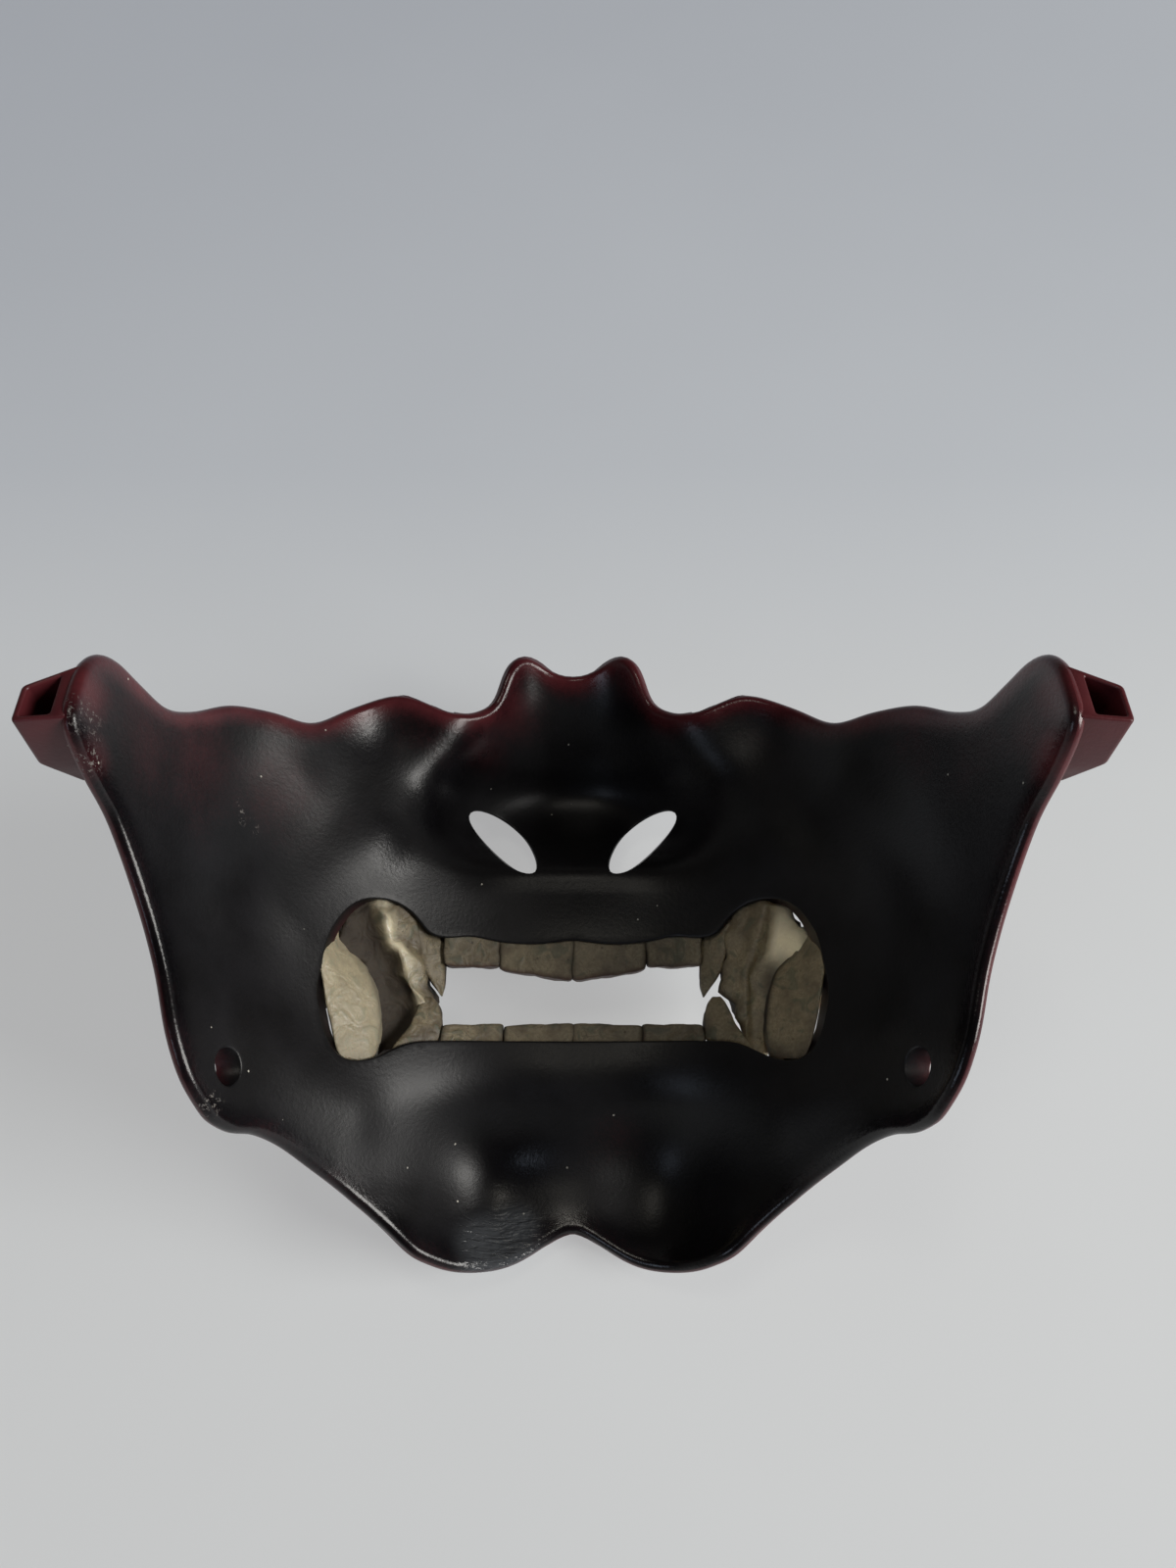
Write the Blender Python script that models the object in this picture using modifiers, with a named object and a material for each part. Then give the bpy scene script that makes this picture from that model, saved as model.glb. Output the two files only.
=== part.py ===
"""Oni half mask: a thin cast half face with bone teeth and two strap sockets.

Everything is modelled as the mask is worn, in metres: X to the wearer's right, Y forward
out of the mouth, Z up, with the middle of the mouth opening at the origin. One empty then
lays the whole mask face down, as it rests by itself on a table.
"""
import math

import bmesh
import bpy
from mathutils import Matrix, Vector
from mathutils.bvhtree import BVHTree

# Driving dimensions of the shell
INNER_HALF_WIDTH = 0.0785
REACH = 0.088
HALF_ARC = 0.130
FACE_HEIGHT = 0.130
WALL = 0.0032
SECTION_POWER = 2.25
NOSE_DEPTH = 0.025
NOSE_HALF_WIDTH = 0.031
SWELL = 0.007
LIP_RISE = 0.0025
LIP_BAND = 0.0045
RIM_EDGE = 0.0010

# Driving dimensions of the openings
MOUTH_HALF_WIDTH = 0.0503
MOUTH_RISE = 0.0201
MOUTH_DROP = 0.0132
NOSTRIL_LENGTH = 0.0196
NOSTRIL_WIDTH = 0.0062
NOSTRIL_OUT = 0.0160
NOSTRIL_UP = 0.0333
NOSTRIL_SLANT = math.radians(39)
NOSTRIL_TILT = math.radians(15)
STRAP_HOLE = 0.0066
STRAP_HOLE_INSET = 0.0112
STRAP_HOLE_UP = 0.1236

# Driving dimensions of the teeth and the sockets
TOOTH_GAP = 0.0007
TOOTH_RECESS = 0.0008
TOOTH_THICKNESS = 0.0060
TOOTH_EDGE = 0.0006
SEAT_GAP = 0.0003
SOCKET_OUT = 0.0076
SOCKET_TALL = 0.0104
SOCKET_OUTER_TALL = 0.0072
SOCKET_SAG = 0.0024
SOCKET_LONG = 0.0185
SOCKET_STRAIGHT = 0.0125
SOCKET_TAPER = math.radians(48)
SOCKET_RIM = 0.0006
SOCKET_SIDE = 0.0010
SOCKET_HOLE_DEEP = 0.0110

# Level sections of the shell from the bridge of the nose to the chin.
# Columns: height as a share of FACE_HEIGHT, how far forward the front lies as a share of
# REACH, half width as a share of INNER_HALF_WIDTH.
SECTIONS = [
    (0.646, -0.09, 0.970),
    (0.460, -0.03, 1.000),
    (0.310, 0.00, 1.000),
    (0.154, 0.00, 0.968),
    (0.000, 0.00, 0.910),
    (-0.154, -0.01, 0.847),
    (-0.292, 0.01, 0.790),
    (-0.370, -0.04, 0.740),
    (-0.430, -0.16, 0.690),
]

# The nose's ridge from the bridge down to its root over the lip.
# Columns: height as a share of FACE_HEIGHT, depth as a share of NOSE_DEPTH, half width as a
# share of NOSE_HALF_WIDTH.
NOSE = [
    (0.677, 0.16, 0.42),
    (0.600, 0.36, 0.48),
    (0.508, 0.56, 0.58),
    (0.415, 0.88, 0.77),
    (0.362, 1.00, 0.94),
    (0.308, 0.80, 1.00),
    (0.262, 0.36, 1.00),
    (0.223, 0.06, 0.97),
    (0.185, 0.00, 0.90),
]

# Soft swells of the cast skin, proud where the rise is positive.
# Columns: place round the section and its spread as shares of HALF_ARC, place in height and
# its spread as shares of FACE_HEIGHT, rise as a share of SWELL.
SWELLS = [
    ("nostril wing", 0.135, 0.065, 0.285, 0.070, 0.50),
    ("bridge knob", 0.062, 0.030, 0.560, 0.060, 0.25),
    ("cheek", 0.320, 0.110, 0.440, 0.100, 0.55),
    ("outer cheek", 0.580, 0.140, 0.300, 0.130, 0.30),
    ("upper lip", 0.000, 0.220, 0.130, 0.090, 0.25),
    ("chin lobe", 0.155, 0.105, -0.300, 0.140, 1.15),
    ("under lip", 0.000, 0.300, -0.130, 0.060, -0.25),
]

# Creases that run along the skin, hollow outside where the rise is negative.
# Columns: start and end as round shares of HALF_ARC and height shares of FACE_HEIGHT, half
# width as a share of HALF_ARC, rise as a share of SWELL.
CREASES = [
    ("beside the nose", 0.190, 0.520, 0.340, 0.250, 0.055, -0.45),
    ("round the mouth", 0.330, 0.260, 0.500, 0.110, 0.050, -0.25),
    ("under the cheek", 0.480, 0.330, 0.660, 0.120, 0.055, -0.15),
    ("jaw", 0.430, -0.180, 0.660, -0.060, 0.060, -0.15),
]

# Rim of the shell. Columns: share of the way along the edge, height as a share of
# FACE_HEIGHT, or for the side edge the distance round as a share of HALF_ARC.
TOP_EDGE = [
    (0.000, 0.558),
    (0.025, 0.568),
    (0.055, 0.590),
    (0.080, 0.588),
    (0.100, 0.560),
    (0.115, 0.515),
    (0.145, 0.489),
    (0.195, 0.482),
    (0.310, 0.503),
    (0.383, 0.475),
    (0.473, 0.433),
    (0.570, 0.431),
    (0.653, 0.421),
    (0.740, 0.388),
    (0.800, 0.376),
    (0.873, 0.390),
    (0.940, 0.400),
    (0.975, 0.390),
    (1.000, 0.366),
]
BOTTOM_EDGE = [
    (0.000, -0.348),
    (0.050, -0.360),
    (0.130, -0.375),
    (0.230, -0.381),
    (0.350, -0.382),
    (0.430, -0.373),
    (0.510, -0.342),
    (0.590, -0.306),
    (0.715, -0.254),
    (0.800, -0.221),
    (0.870, -0.205),
    (0.940, -0.201),
    (1.000, -0.185),
]
SIDE_EDGE = [
    (0.000, 0.732),
    (0.090, 0.772),
    (0.170, 0.788),
    (0.360, 0.798),
    (0.500, 0.816),
    (0.625, 0.846),
    (0.690, 0.870),
    (0.760, 0.915),
    (0.860, 0.960),
    (0.920, 0.953),
    (1.000, 0.938),
]

# Mouth opening, right half. Columns: distance out as a share of MOUTH_HALF_WIDTH, height as
# a share of MOUTH_RISE for the upper line and of MOUTH_DROP for the lower one.
UPPER_LINE = [
    (0.00, 0.65),
    (0.17, 0.60),
    (0.32, 0.62),
    (0.44, 0.67),
    (0.55, 0.64),
    (0.62, 0.69),
    (0.66, 0.83),
    (0.72, 0.95),
    (0.82, 1.00),
    (0.90, 0.92),
    (0.95, 0.74),
    (0.985, 0.46),
    (1.00, 0.12),
]
LOWER_LINE = [
    (0.00, 0.66),
    (0.30, 0.66),
    (0.55, 0.67),
    (0.66, 0.70),
    (0.72, 0.79),
    (0.78, 0.93),
    (0.85, 1.00),
    (0.90, 0.96),
    (0.945, 0.74),
    (0.98, 0.38),
    (1.00, 0.04),
]

# Teeth of the right half, from the root to the tip. Columns of each row: share of the way to
# the tip, inner and outer side as shares of MOUTH_HALF_WIDTH, set forward of the skin and
# thickness as shares of TOOTH_THICKNESS. The heights of the tip's inner and outer ends are
# shares of MOUTH_RISE.
TEETH = {
    "upper_incisor": (True, 0.20, 0.32, [
        (0.00, 0.000, 0.318, 0.00, 1.00),
        (1.00, 0.000, 0.312, 0.05, 0.75),
    ]),
    "upper_lateral": (True, 0.35, 0.34, [
        (0.00, 0.318, 0.552, 0.00, 1.00),
        (1.00, 0.322, 0.545, 0.05, 0.75),
    ]),
    "upper_fang": (True, 0.09, 0.09, [
        (0.00, 0.552, 0.655, 0.00, 1.00),
        (0.60, 0.556, 0.642, 0.10, 0.85),
        (1.00, 0.572, 0.604, 0.25, 0.40),
    ]),
    "upper_tusk": (True, -0.52, -0.52, [
        (0.00, 0.665, 0.925, 0.00, 1.25),
        (0.30, 0.655, 0.892, 0.20, 1.50),
        (0.55, 0.655, 0.825, 0.40, 1.45),
        (0.78, 0.700, 0.790, 0.65, 1.10),
        (1.00, 0.742, 0.768, 0.85, 0.40),
    ]),
    "lower_incisor": (False, -0.24, -0.27, [
        (0.00, 0.000, 0.295, 0.00, 1.00),
        (1.00, 0.000, 0.290, 0.05, 0.75),
    ]),
    "lower_lateral": (False, -0.25, -0.27, [
        (0.00, 0.295, 0.552, 0.00, 1.00),
        (1.00, 0.300, 0.545, 0.05, 0.75),
    ]),
    "lower_canine": (False, 0.02, 0.02, [
        (0.00, 0.552, 0.765, 0.00, 1.00),
        (0.35, 0.554, 0.690, 0.10, 1.00),
        (0.80, 0.565, 0.650, 0.20, 0.70),
        (1.00, 0.585, 0.630, 0.25, 0.45),
    ]),
    "lower_tusk": (False, 1.25, 1.25, [
        (0.00, 0.780, 0.940, 0.00, 1.25),
        (0.25, 0.794, 1.030, 0.00, 1.40),
        (0.43, 0.832, 1.035, 0.10, 1.45),
        (0.60, 0.898, 1.040, 0.80, 1.20),
        (0.80, 0.935, 1.080, 1.50, 1.00),
        (0.92, 0.960, 1.075, 1.95, 0.75),
        (1.00, 0.990, 1.030, 2.25, 0.45),
    ]),
}

# Shapes of curves and blends: powers, and shares of the size that each stands beside
NOSE_POWER = 2.4
NOSE_SPREAD = 0.72
LIP_REACH = 0.85
LIP_FADE = 6
TOOTH_CROWN = 0.35
TAB_CORNER = 0.86
ROUND_CORNER = 0.8
SOCKET_GRIP = 0.25

# Walls' depths in front of the skin up to which a tooth keeps inside the mouth's outline, and
# walls' depths that a strap hole's cutter is long
MOUTH_WALLS = 2
CUTTER_WALLS = 6

# Angles over which an edge is rounded or kept sharp
RIM_ANGLE = math.radians(60)
SHELL_ANGLE = math.radians(40)
TOOTH_ANGLE = math.radians(50)

# How finely the sheet, the outlines and the teeth are divided
SHEET_COLUMNS = 38
SHEET_ROWS = 24
COLUMN_CROWDING = 1.3
SEAT_FIRST_COLUMN = 25
OUTLINE_POINTS = 44
NOSTRIL_POINTS = 18
HOLE_SIDES = 20
TOOTH_COLUMNS = 3
TUSK_COLUMNS = 5
HALVINGS = 24
REST_TRIES = 6
MERGE = 0.00001
SLIVER = 0.00008
PROBE = 0.00005
FAR = 0.5

# Colours in linear light, roughness, metallic
LACQUER = ((0.075, 0.016, 0.018), 0.32, 0.0)
BONE = ((0.40, 0.35, 0.24), 0.62, 0.0)


def curve(rows, column, place):
    """A smooth line through one column of a table, read at a place in its first column."""
    ordered = sorted(rows)
    xs = [row[0] for row in ordered]
    ys = [row[column] for row in ordered]
    rises = [(ys[i + 1] - ys[i]) / (xs[i + 1] - xs[i]) for i in range(len(xs) - 1)]
    slopes = [rises[0]]
    for i in range(1, len(xs) - 1):
        before, after = xs[i] - xs[i - 1], xs[i + 1] - xs[i]
        slopes.append((rises[i - 1] * after + rises[i] * before) / (before + after))
    slopes.append(rises[-1])
    if place <= xs[0]:
        return ys[0] + (place - xs[0]) * slopes[0]
    if place >= xs[-1]:
        return ys[-1] + (place - xs[-1]) * slopes[-1]
    i = max(k for k in range(len(xs) - 1) if xs[k] <= place)
    width = xs[i + 1] - xs[i]
    t = (place - xs[i]) / width
    return (
        (1 + 2 * t) * (1 - t) ** 2 * ys[i]
        + t * (1 - t) ** 2 * width * slopes[i]
        + t * t * (3 - 2 * t) * ys[i + 1]
        + t * t * (t - 1) * width * slopes[i + 1]
    )


def bell(distance):
    """A smooth hump: 1 at no distance, fading to nothing past a distance of 2."""
    return math.exp(-distance * distance)


def section_point(around, height):
    """The plain U of the shell at a distance round it and a height, without relief."""
    share = height / FACE_HEIGHT
    front = curve(SECTIONS, 1, share) * REACH
    half_width = curve(SECTIONS, 2, share) * INNER_HALF_WIDTH
    turn = min(around / HALF_ARC, 1.0) * math.pi / 2
    side = math.copysign(abs(math.sin(turn)) ** (2 / SECTION_POWER), turn)
    back = 1 - max(math.cos(turn), 0.0) ** (2 / SECTION_POWER)
    past = max(around - HALF_ARC, 0.0)
    return Vector((half_width * side, front - (REACH + front) * back - past, height))


def nose_relief(around, share):
    """How far the nose stands out of the plain U."""
    if share < NOSE[-1][0]:
        return 0.0
    depth = curve(NOSE, 1, share) * NOSE_DEPTH
    half_width = curve(NOSE, 2, share) * NOSE_HALF_WIDTH
    return depth * math.exp(-(abs(around) / half_width / NOSE_SPREAD) ** NOSE_POWER)


def relief(around, height):
    """How far nose, swells and creases move the skin off the plain U."""
    share = height / FACE_HEIGHT
    place = around / HALF_ARC
    rise = nose_relief(around, share)
    for _, out, out_spread, up, up_spread, proud in SWELLS:
        across = bell((place - out) / out_spread)
        if out:
            across += bell((place + out) / out_spread)
        rise += proud * SWELL * across * bell((share - up) / up_spread)
    here = Vector((place, share * FACE_HEIGHT / HALF_ARC))
    for _, out_0, up_0, out_1, up_1, half_width, proud in CREASES:
        start = Vector((out_0, up_0 * FACE_HEIGHT / HALF_ARC))
        run = Vector((out_1, up_1 * FACE_HEIGHT / HALF_ARC)) - start
        along = max(0.0, min(1.0, (here - start).dot(run) / run.length_squared))
        away = (here - start - along * run).length
        rise += proud * SWELL * bell(away / half_width)
    return rise


def skin_point(around, height):
    """A point of the inner skin."""
    across = section_point(around + PROBE, height) - section_point(around - PROBE, height)
    upward = section_point(around, height + PROBE) - section_point(around, height - PROBE)
    outward = upward.cross(across).normalized()
    return section_point(around, height) + outward * relief(around, height)


def sheet_place(along, up):
    """Distance round and height for a place on the half sheet, both given as 0 to 1."""
    low = curve(BOTTOM_EDGE, 1, along) * FACE_HEIGHT
    high = curve(TOP_EDGE, 1, along) * FACE_HEIGHT
    return along * curve(SIDE_EDGE, 1, up) * HALF_ARC, low + up * (high - low)


def upper_line(out):
    """Height of the mouth opening's upper line at a distance from the middle."""
    return curve(UPPER_LINE, 1, abs(out) / MOUTH_HALF_WIDTH) * MOUTH_RISE


def lower_line(out):
    """Height of the mouth opening's lower line at a distance from the middle."""
    return -curve(LOWER_LINE, 1, abs(out) / MOUTH_HALF_WIDTH) * MOUTH_DROP


def mouth_outline():
    """The mouth opening seen from behind, as a ring of places out and up."""
    outs = []
    for i in range(OUTLINE_POINTS + 1):
        outs.append(MOUTH_HALF_WIDTH * math.sin((i / OUTLINE_POINTS * 2 - 1) * math.pi / 2))
    ring = [(out, upper_line(out)) for out in outs]
    ring += [(out, lower_line(out)) for out in reversed(outs)]
    return ring


def corner_out(height):
    """How far out the mouth opening reaches at a height."""
    low, high = ROUND_CORNER * MOUTH_HALF_WIDTH, MOUTH_HALF_WIDTH
    line = upper_line if height > upper_line(high) else lower_line
    if lower_line(high) <= height <= upper_line(high):
        return high
    for _ in range(HALVINGS):
        middle = (low + high) / 2
        inside = abs(line(middle)) > abs(height)
        low, high = (middle, high) if inside else (low, middle)
    return low


def lip_weight(point):
    """1 on the lips' crest and 0 away from them, for the extra thickness outside."""
    out = min(abs(point.x), MOUTH_HALF_WIDTH)
    fade = max(0.0, 1 - (abs(point.x) / MOUTH_HALF_WIDTH / LIP_REACH) ** LIP_FADE)
    above = (point.z - upper_line(out) - LIP_BAND) / LIP_BAND
    below = (lower_line(out) - LIP_BAND - point.z) / LIP_BAND
    return fade * max(bell(above), bell(below))


def make_collection(name):
    """A new collection in the scene."""
    collection = bpy.data.collections.new(name)
    bpy.context.scene.collection.children.link(collection)
    return collection


def make_material(name, finish):
    """A plain painted or bare surface."""
    colour, roughness, metallic = finish
    material = bpy.data.materials.new(name)
    material.use_nodes = True
    shader = material.node_tree.nodes["Principled BSDF"]
    shader.inputs["Base Color"].default_value = (*colour, 1.0)
    shader.inputs["Roughness"].default_value = roughness
    shader.inputs["Metallic"].default_value = metallic
    material.diffuse_color = (*colour, 1.0)
    return material


def add_object(name, mesh_data, collection, parent, finish=None):
    """Link a mesh as a named object; with no finish it is a cutter."""
    mesh = bpy.data.meshes.new(name)
    mesh_data.normal_update()
    mesh_data.to_mesh(mesh)
    mesh_data.free()
    item = bpy.data.objects.new(name, mesh)
    collection.objects.link(item)
    item.parent = parent
    if finish is None:
        item.hide_render = True
        item.display_type = "WIRE"
    else:
        mesh.materials.append(make_material(name + "_finish", finish))
    return item


def solid_points(item):
    """The finished mesh of an object as a bmesh, modifiers included."""
    graph = bpy.context.evaluated_depsgraph_get()
    work = bmesh.new()
    work.from_object(item, graph)
    return work


def face_out(work):
    """Turn every face of a closed body outwards."""
    bmesh.ops.recalc_face_normals(work, faces=work.faces)
    if work.calc_volume(signed=True) < 0:
        bmesh.ops.reverse_faces(work, faces=work.faces)


def drop_slivers(item):
    """Weld corners that a cut or a bevel left too close together."""
    weld = item.modifiers.new("no slivers", "WELD")
    weld.merge_threshold = SLIVER


def prism(ring, near, far, frame=Matrix.Identity(4)):
    """A closed bar whose section is a ring of places out and up, run along Y."""
    work = bmesh.new()
    corners = [work.verts.new((out, near, up)) for out, up in ring]
    face = work.faces.new(corners)
    moved = bmesh.ops.extrude_face_region(work, geom=[face])
    top = [item for item in moved["geom"] if isinstance(item, bmesh.types.BMVert)]
    bmesh.ops.translate(work, verts=top, vec=(0.0, far - near, 0.0))
    face_out(work)
    bmesh.ops.transform(work, matrix=frame, verts=work.verts)
    return work


def make_sheet(first_column=0):
    """The right half of the inner skin, or its rear part, as an open grid of quads."""
    work = bmesh.new()
    grid = []
    for column in range(first_column, SHEET_COLUMNS + 1):
        along = (column / SHEET_COLUMNS) ** COLUMN_CROWDING
        line = []
        for row in range(SHEET_ROWS + 1):
            line.append(work.verts.new(skin_point(*sheet_place(along, row / SHEET_ROWS))))
        grid.append(line)
    if first_column == 0:
        for corner in grid[0]:
            corner.co.x = 0.0
    for left, right in zip(grid, grid[1:]):
        for i in range(SHEET_ROWS):
            work.faces.new((left[i], left[i + 1], right[i + 1], right[i]))
    return work


def cut_nostrils(cutters, parent):
    """Two slanting lens shaped bars, which the nose's underside is pierced with."""
    ring = []
    for i in range(NOSTRIL_POINTS):
        turn = 2 * math.pi * i / NOSTRIL_POINTS
        ring.append((math.cos(turn) * NOSTRIL_LENGTH / 2, math.sin(turn) * NOSTRIL_WIDTH / 2))
    for side, name in ((-1, "left"), (1, "right")):
        slant = Matrix.Rotation(-side * NOSTRIL_SLANT, 4, "Y")
        place = Matrix.Translation((side * NOSTRIL_OUT, 0.0, NOSTRIL_UP))
        tilt = Matrix.Rotation(NOSTRIL_TILT, 4, "X")
        bar = prism(ring, -NOSE_DEPTH, 2 * NOSE_DEPTH, tilt @ place @ slant)
        add_object("nostril_cutter_" + name, bar, cutters, parent)


def cut_strap_holes(cutters, parent):
    """Two round bars square to the skin behind the jaw."""
    around, height = sheet_place(1.0, STRAP_HOLE_UP)
    around -= STRAP_HOLE_INSET
    centre = skin_point(around, height)
    across = skin_point(around + PROBE, height) - centre
    upward = skin_point(around, height + PROBE) - centre
    outward = upward.cross(across).normalized()
    for side, name in ((-1, "left"), (1, "right")):
        work = bmesh.new()
        bmesh.ops.create_cone(work, cap_ends=True, segments=HOLE_SIDES, radius1=STRAP_HOLE / 2,
                              radius2=STRAP_HOLE / 2, depth=CUTTER_WALLS * WALL)
        axis = Vector((side * outward.x, outward.y, outward.z))
        place = Matrix.Translation((side * centre.x, centre.y, centre.z))
        turned = place @ axis.to_track_quat("Z", "Y").to_matrix().to_4x4()
        bmesh.ops.transform(work, matrix=turned, verts=work.verts)
        add_object("strap_hole_cutter_" + name, work, cutters, parent)


def make_shell(parts, cutters, parent):
    """The cast half face: a sheet, mirrored, thickened outwards, rounded and pierced."""
    shell = add_object("mask_shell", make_sheet(), parts, parent, LACQUER)
    lips = shell.vertex_groups.new(name="lips")
    for vertex in shell.data.vertices:
        lips.add([vertex.index], lip_weight(vertex.co), "REPLACE")
    mirror = shell.modifiers.new("both halves", "MIRROR")
    mirror.merge_threshold = MERGE
    thicken = shell.modifiers.new("wall", "SOLIDIFY")
    thicken.thickness = WALL + LIP_RISE
    thicken.offset = 1.0
    thicken.use_even_offset = True
    thicken.vertex_group = "lips"
    thicken.thickness_vertex_group = WALL / (WALL + LIP_RISE)
    rim = shell.modifiers.new("rounded rim", "BEVEL")
    rim.width = min(RIM_EDGE, WALL / 3)
    rim.segments = 1
    rim.limit_method = "ANGLE"
    rim.angle_limit = RIM_ANGLE
    mouth = prism(mouth_outline(), -REACH, REACH)
    add_object("mouth_cutter", mouth, cutters, parent)
    cut_nostrils(cutters, parent)
    cut_strap_holes(cutters, parent)
    for cutter in cutters.objects:
        pierce = shell.modifiers.new(cutter.name, "BOOLEAN")
        pierce.object = cutter
        pierce.solver = "EXACT"
    drop_slivers(shell)
    shell.data.shade_smooth()
    shell.data.set_sharp_from_angle(angle=SHELL_ANGLE)
    return shell


def make_tooth(name, side, skin_depth, parts, parent):
    """One tooth: a divided cube fitted between the mouth's line and the tooth's own tip."""
    upper, inner_tip, outer_tip, rows = TEETH[name]
    root_line = upper_line if upper else lower_line
    away = -1 if upper else 1
    work = bmesh.new()
    bmesh.ops.create_cube(work, size=2.0)
    columns = TUSK_COLUMNS if name.endswith("tusk") else TOOTH_COLUMNS
    bmesh.ops.subdivide_edges(work, edges=work.edges, cuts=columns - 1, use_grid_fill=True)
    for vertex in work.verts:
        across, through, down = ((value + 1) / 2 for value in vertex.co)
        inner = curve(rows, 1, down) * MOUTH_HALF_WIDTH + TOOTH_GAP / 2
        outer = curve(rows, 2, down) * MOUTH_HALF_WIDTH - TOOTH_GAP / 2
        out = inner + across * (outer - inner)
        tip = (inner_tip + across * (outer_tip - inner_tip)) * MOUTH_RISE
        up = (root_line(out) + away * SEAT_GAP) * (1 - down) + tip * down
        set_forward = TOOTH_RECESS + curve(rows, 3, down) * TOOTH_THICKNESS
        if set_forward < MOUTH_WALLS * WALL:
            out = min(out, corner_out(up) - SEAT_GAP)
        thickness = curve(rows, 4, down) * TOOTH_THICKNESS
        crown = 1 - TOOTH_CROWN * (2 * across - 1) ** 2
        forward = skin_depth(out, up) + set_forward + through * thickness * crown
        vertex.co = (out, forward, up)
    if side < 0:
        bmesh.ops.scale(work, vec=(-1.0, 1.0, 1.0), verts=work.verts)
    face_out(work)
    label = name + ("_left" if side < 0 else "_right")
    tooth = add_object(label, work, parts, parent, BONE)
    edge = tooth.modifiers.new("rounded edges", "BEVEL")
    edge.width = TOOTH_EDGE
    edge.segments = 1
    edge.limit_method = "ANGLE"
    edge.angle_limit = TOOTH_ANGLE
    drop_slivers(tooth)
    tooth.data.shade_smooth()
    tooth.data.set_sharp_from_angle(angle=TOOTH_ANGLE)
    return tooth


def make_seat(cutters, parent):
    """The ear tabs' walls made thicker by the seat gap, which the sockets are cut to."""
    seat = add_object("seat_cutter", make_sheet(SEAT_FIRST_COLUMN), cutters, parent)
    mirror = seat.modifiers.new("both halves", "MIRROR")
    mirror.merge_threshold = MERGE
    thicken = seat.modifiers.new("wall and gap", "SOLIDIFY")
    thicken.thickness = WALL + SEAT_GAP
    thicken.offset = 1.0
    thicken.use_even_offset = True
    return seat


def make_socket(side, shell_tree, seat, parts, cutters, parent):
    """A square strap socket on the outside of an ear tab, tapered at its front end."""
    rear = skin_point(*sheet_place(1.0, TAB_CORNER))
    top = skin_point(*sheet_place(1.0, 1.0))
    pitch = math.atan2(top.y - rear.y, top.z - rear.z)
    origin = Vector((0.0, (rear.y + top.y) / 2, (rear.z + top.z) / 2))
    frame = Matrix.Translation(origin) @ Matrix.Rotation(-pitch, 4, "X")

    def wall_out(along, up):
        """How far out the tab's outer face lies beside a place of the socket."""
        flat = frame @ Vector((0.0, along, up))
        start = Vector((FAR, flat.y, flat.z))
        return shell_tree.ray_cast(start, Vector((-1.0, 0.0, 0.0)))[0].x

    base = wall_out(SOCKET_LONG / 2, 0.0) + SEAT_GAP
    inner_side = wall_out(2 * RIM_EDGE, 0.0) + SEAT_GAP + SOCKET_SIDE

    def end_corner(share, over):
        """Place out and up on the sloping end face, over running from -1 to 1."""
        tall = SOCKET_TALL + share * (SOCKET_OUTER_TALL - SOCKET_TALL)
        return share * SOCKET_OUT, over * tall / 2 - share * SOCKET_SAG

    work = bmesh.new()
    bmesh.ops.create_cube(work, size=2.0)
    for vertex in work.verts:
        outside, front, over = vertex.co
        out, up = end_corner((outside + 1) / 2, over)
        if outside > 0:
            out += base
        else:
            out = wall_out((0.5 + front * SOCKET_GRIP) * SOCKET_LONG, up / 2) - WALL / 2
        flat = frame @ Vector((0.0, SOCKET_RIM if front < 0 else SOCKET_LONG, up))
        vertex.co = (out, flat.y, flat.z)
    taper = bmesh.new()
    bmesh.ops.create_cube(taper, size=2 * SOCKET_LONG)
    turned = Matrix.Rotation(-SOCKET_TAPER, 4, "Z")
    shift = Matrix.Translation((0.0, SOCKET_LONG, 0.0))
    start = Matrix.Translation((base + SOCKET_OUT, SOCKET_STRAIGHT, 0.0))
    bmesh.ops.transform(taper, matrix=frame @ start @ turned @ shift, verts=taper.verts)
    hole = bmesh.new()
    bmesh.ops.create_cube(hole, size=2.0)
    for vertex in hole.verts:
        outside, front, over = vertex.co
        reach = base + SOCKET_OUT - SOCKET_SIDE if outside > 0 else inner_side
        out, up = end_corner((reach - base) / SOCKET_OUT, over)
        up -= over * SOCKET_SIDE
        flat = frame @ Vector((0.0, front * SOCKET_HOLE_DEEP, up))
        vertex.co = (base + out, flat.y, flat.z)
    for piece in (work, taper, hole):
        bmesh.ops.scale(piece, vec=(side, 1.0, 1.0), verts=piece.verts)
        face_out(piece)
    label = "left" if side < 0 else "right"
    socket = add_object("strap_socket_" + label, work, parts, parent, LACQUER)
    tools = [
        seat,
        add_object("socket_taper_cutter_" + label, taper, cutters, parent),
        add_object("socket_hole_cutter_" + label, hole, cutters, parent),
    ]
    for tool in tools:
        cut = socket.modifiers.new(tool.name, "BOOLEAN")
        cut.object = tool
        cut.solver = "EXACT"
    drop_slivers(socket)
    return socket


def rest_turn(points):
    """How far the face turns from straight down so that it lies on its foremost points."""
    middle = sum(point.z for point in points) / len(points)
    upper = [point for point in points if point.z >= middle]
    lower = [point for point in points if point.z < middle]
    low = max(lower, key=lambda point: point.y)
    for _ in range(REST_TRIES):
        high = max(upper, key=lambda p: (p.y - low.y) / (p.z - low.z))
        low = min(lower, key=lambda p: (high.y - p.y) / (high.z - p.z))
    return math.atan2(high.y - low.y, high.z - low.z)


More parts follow.
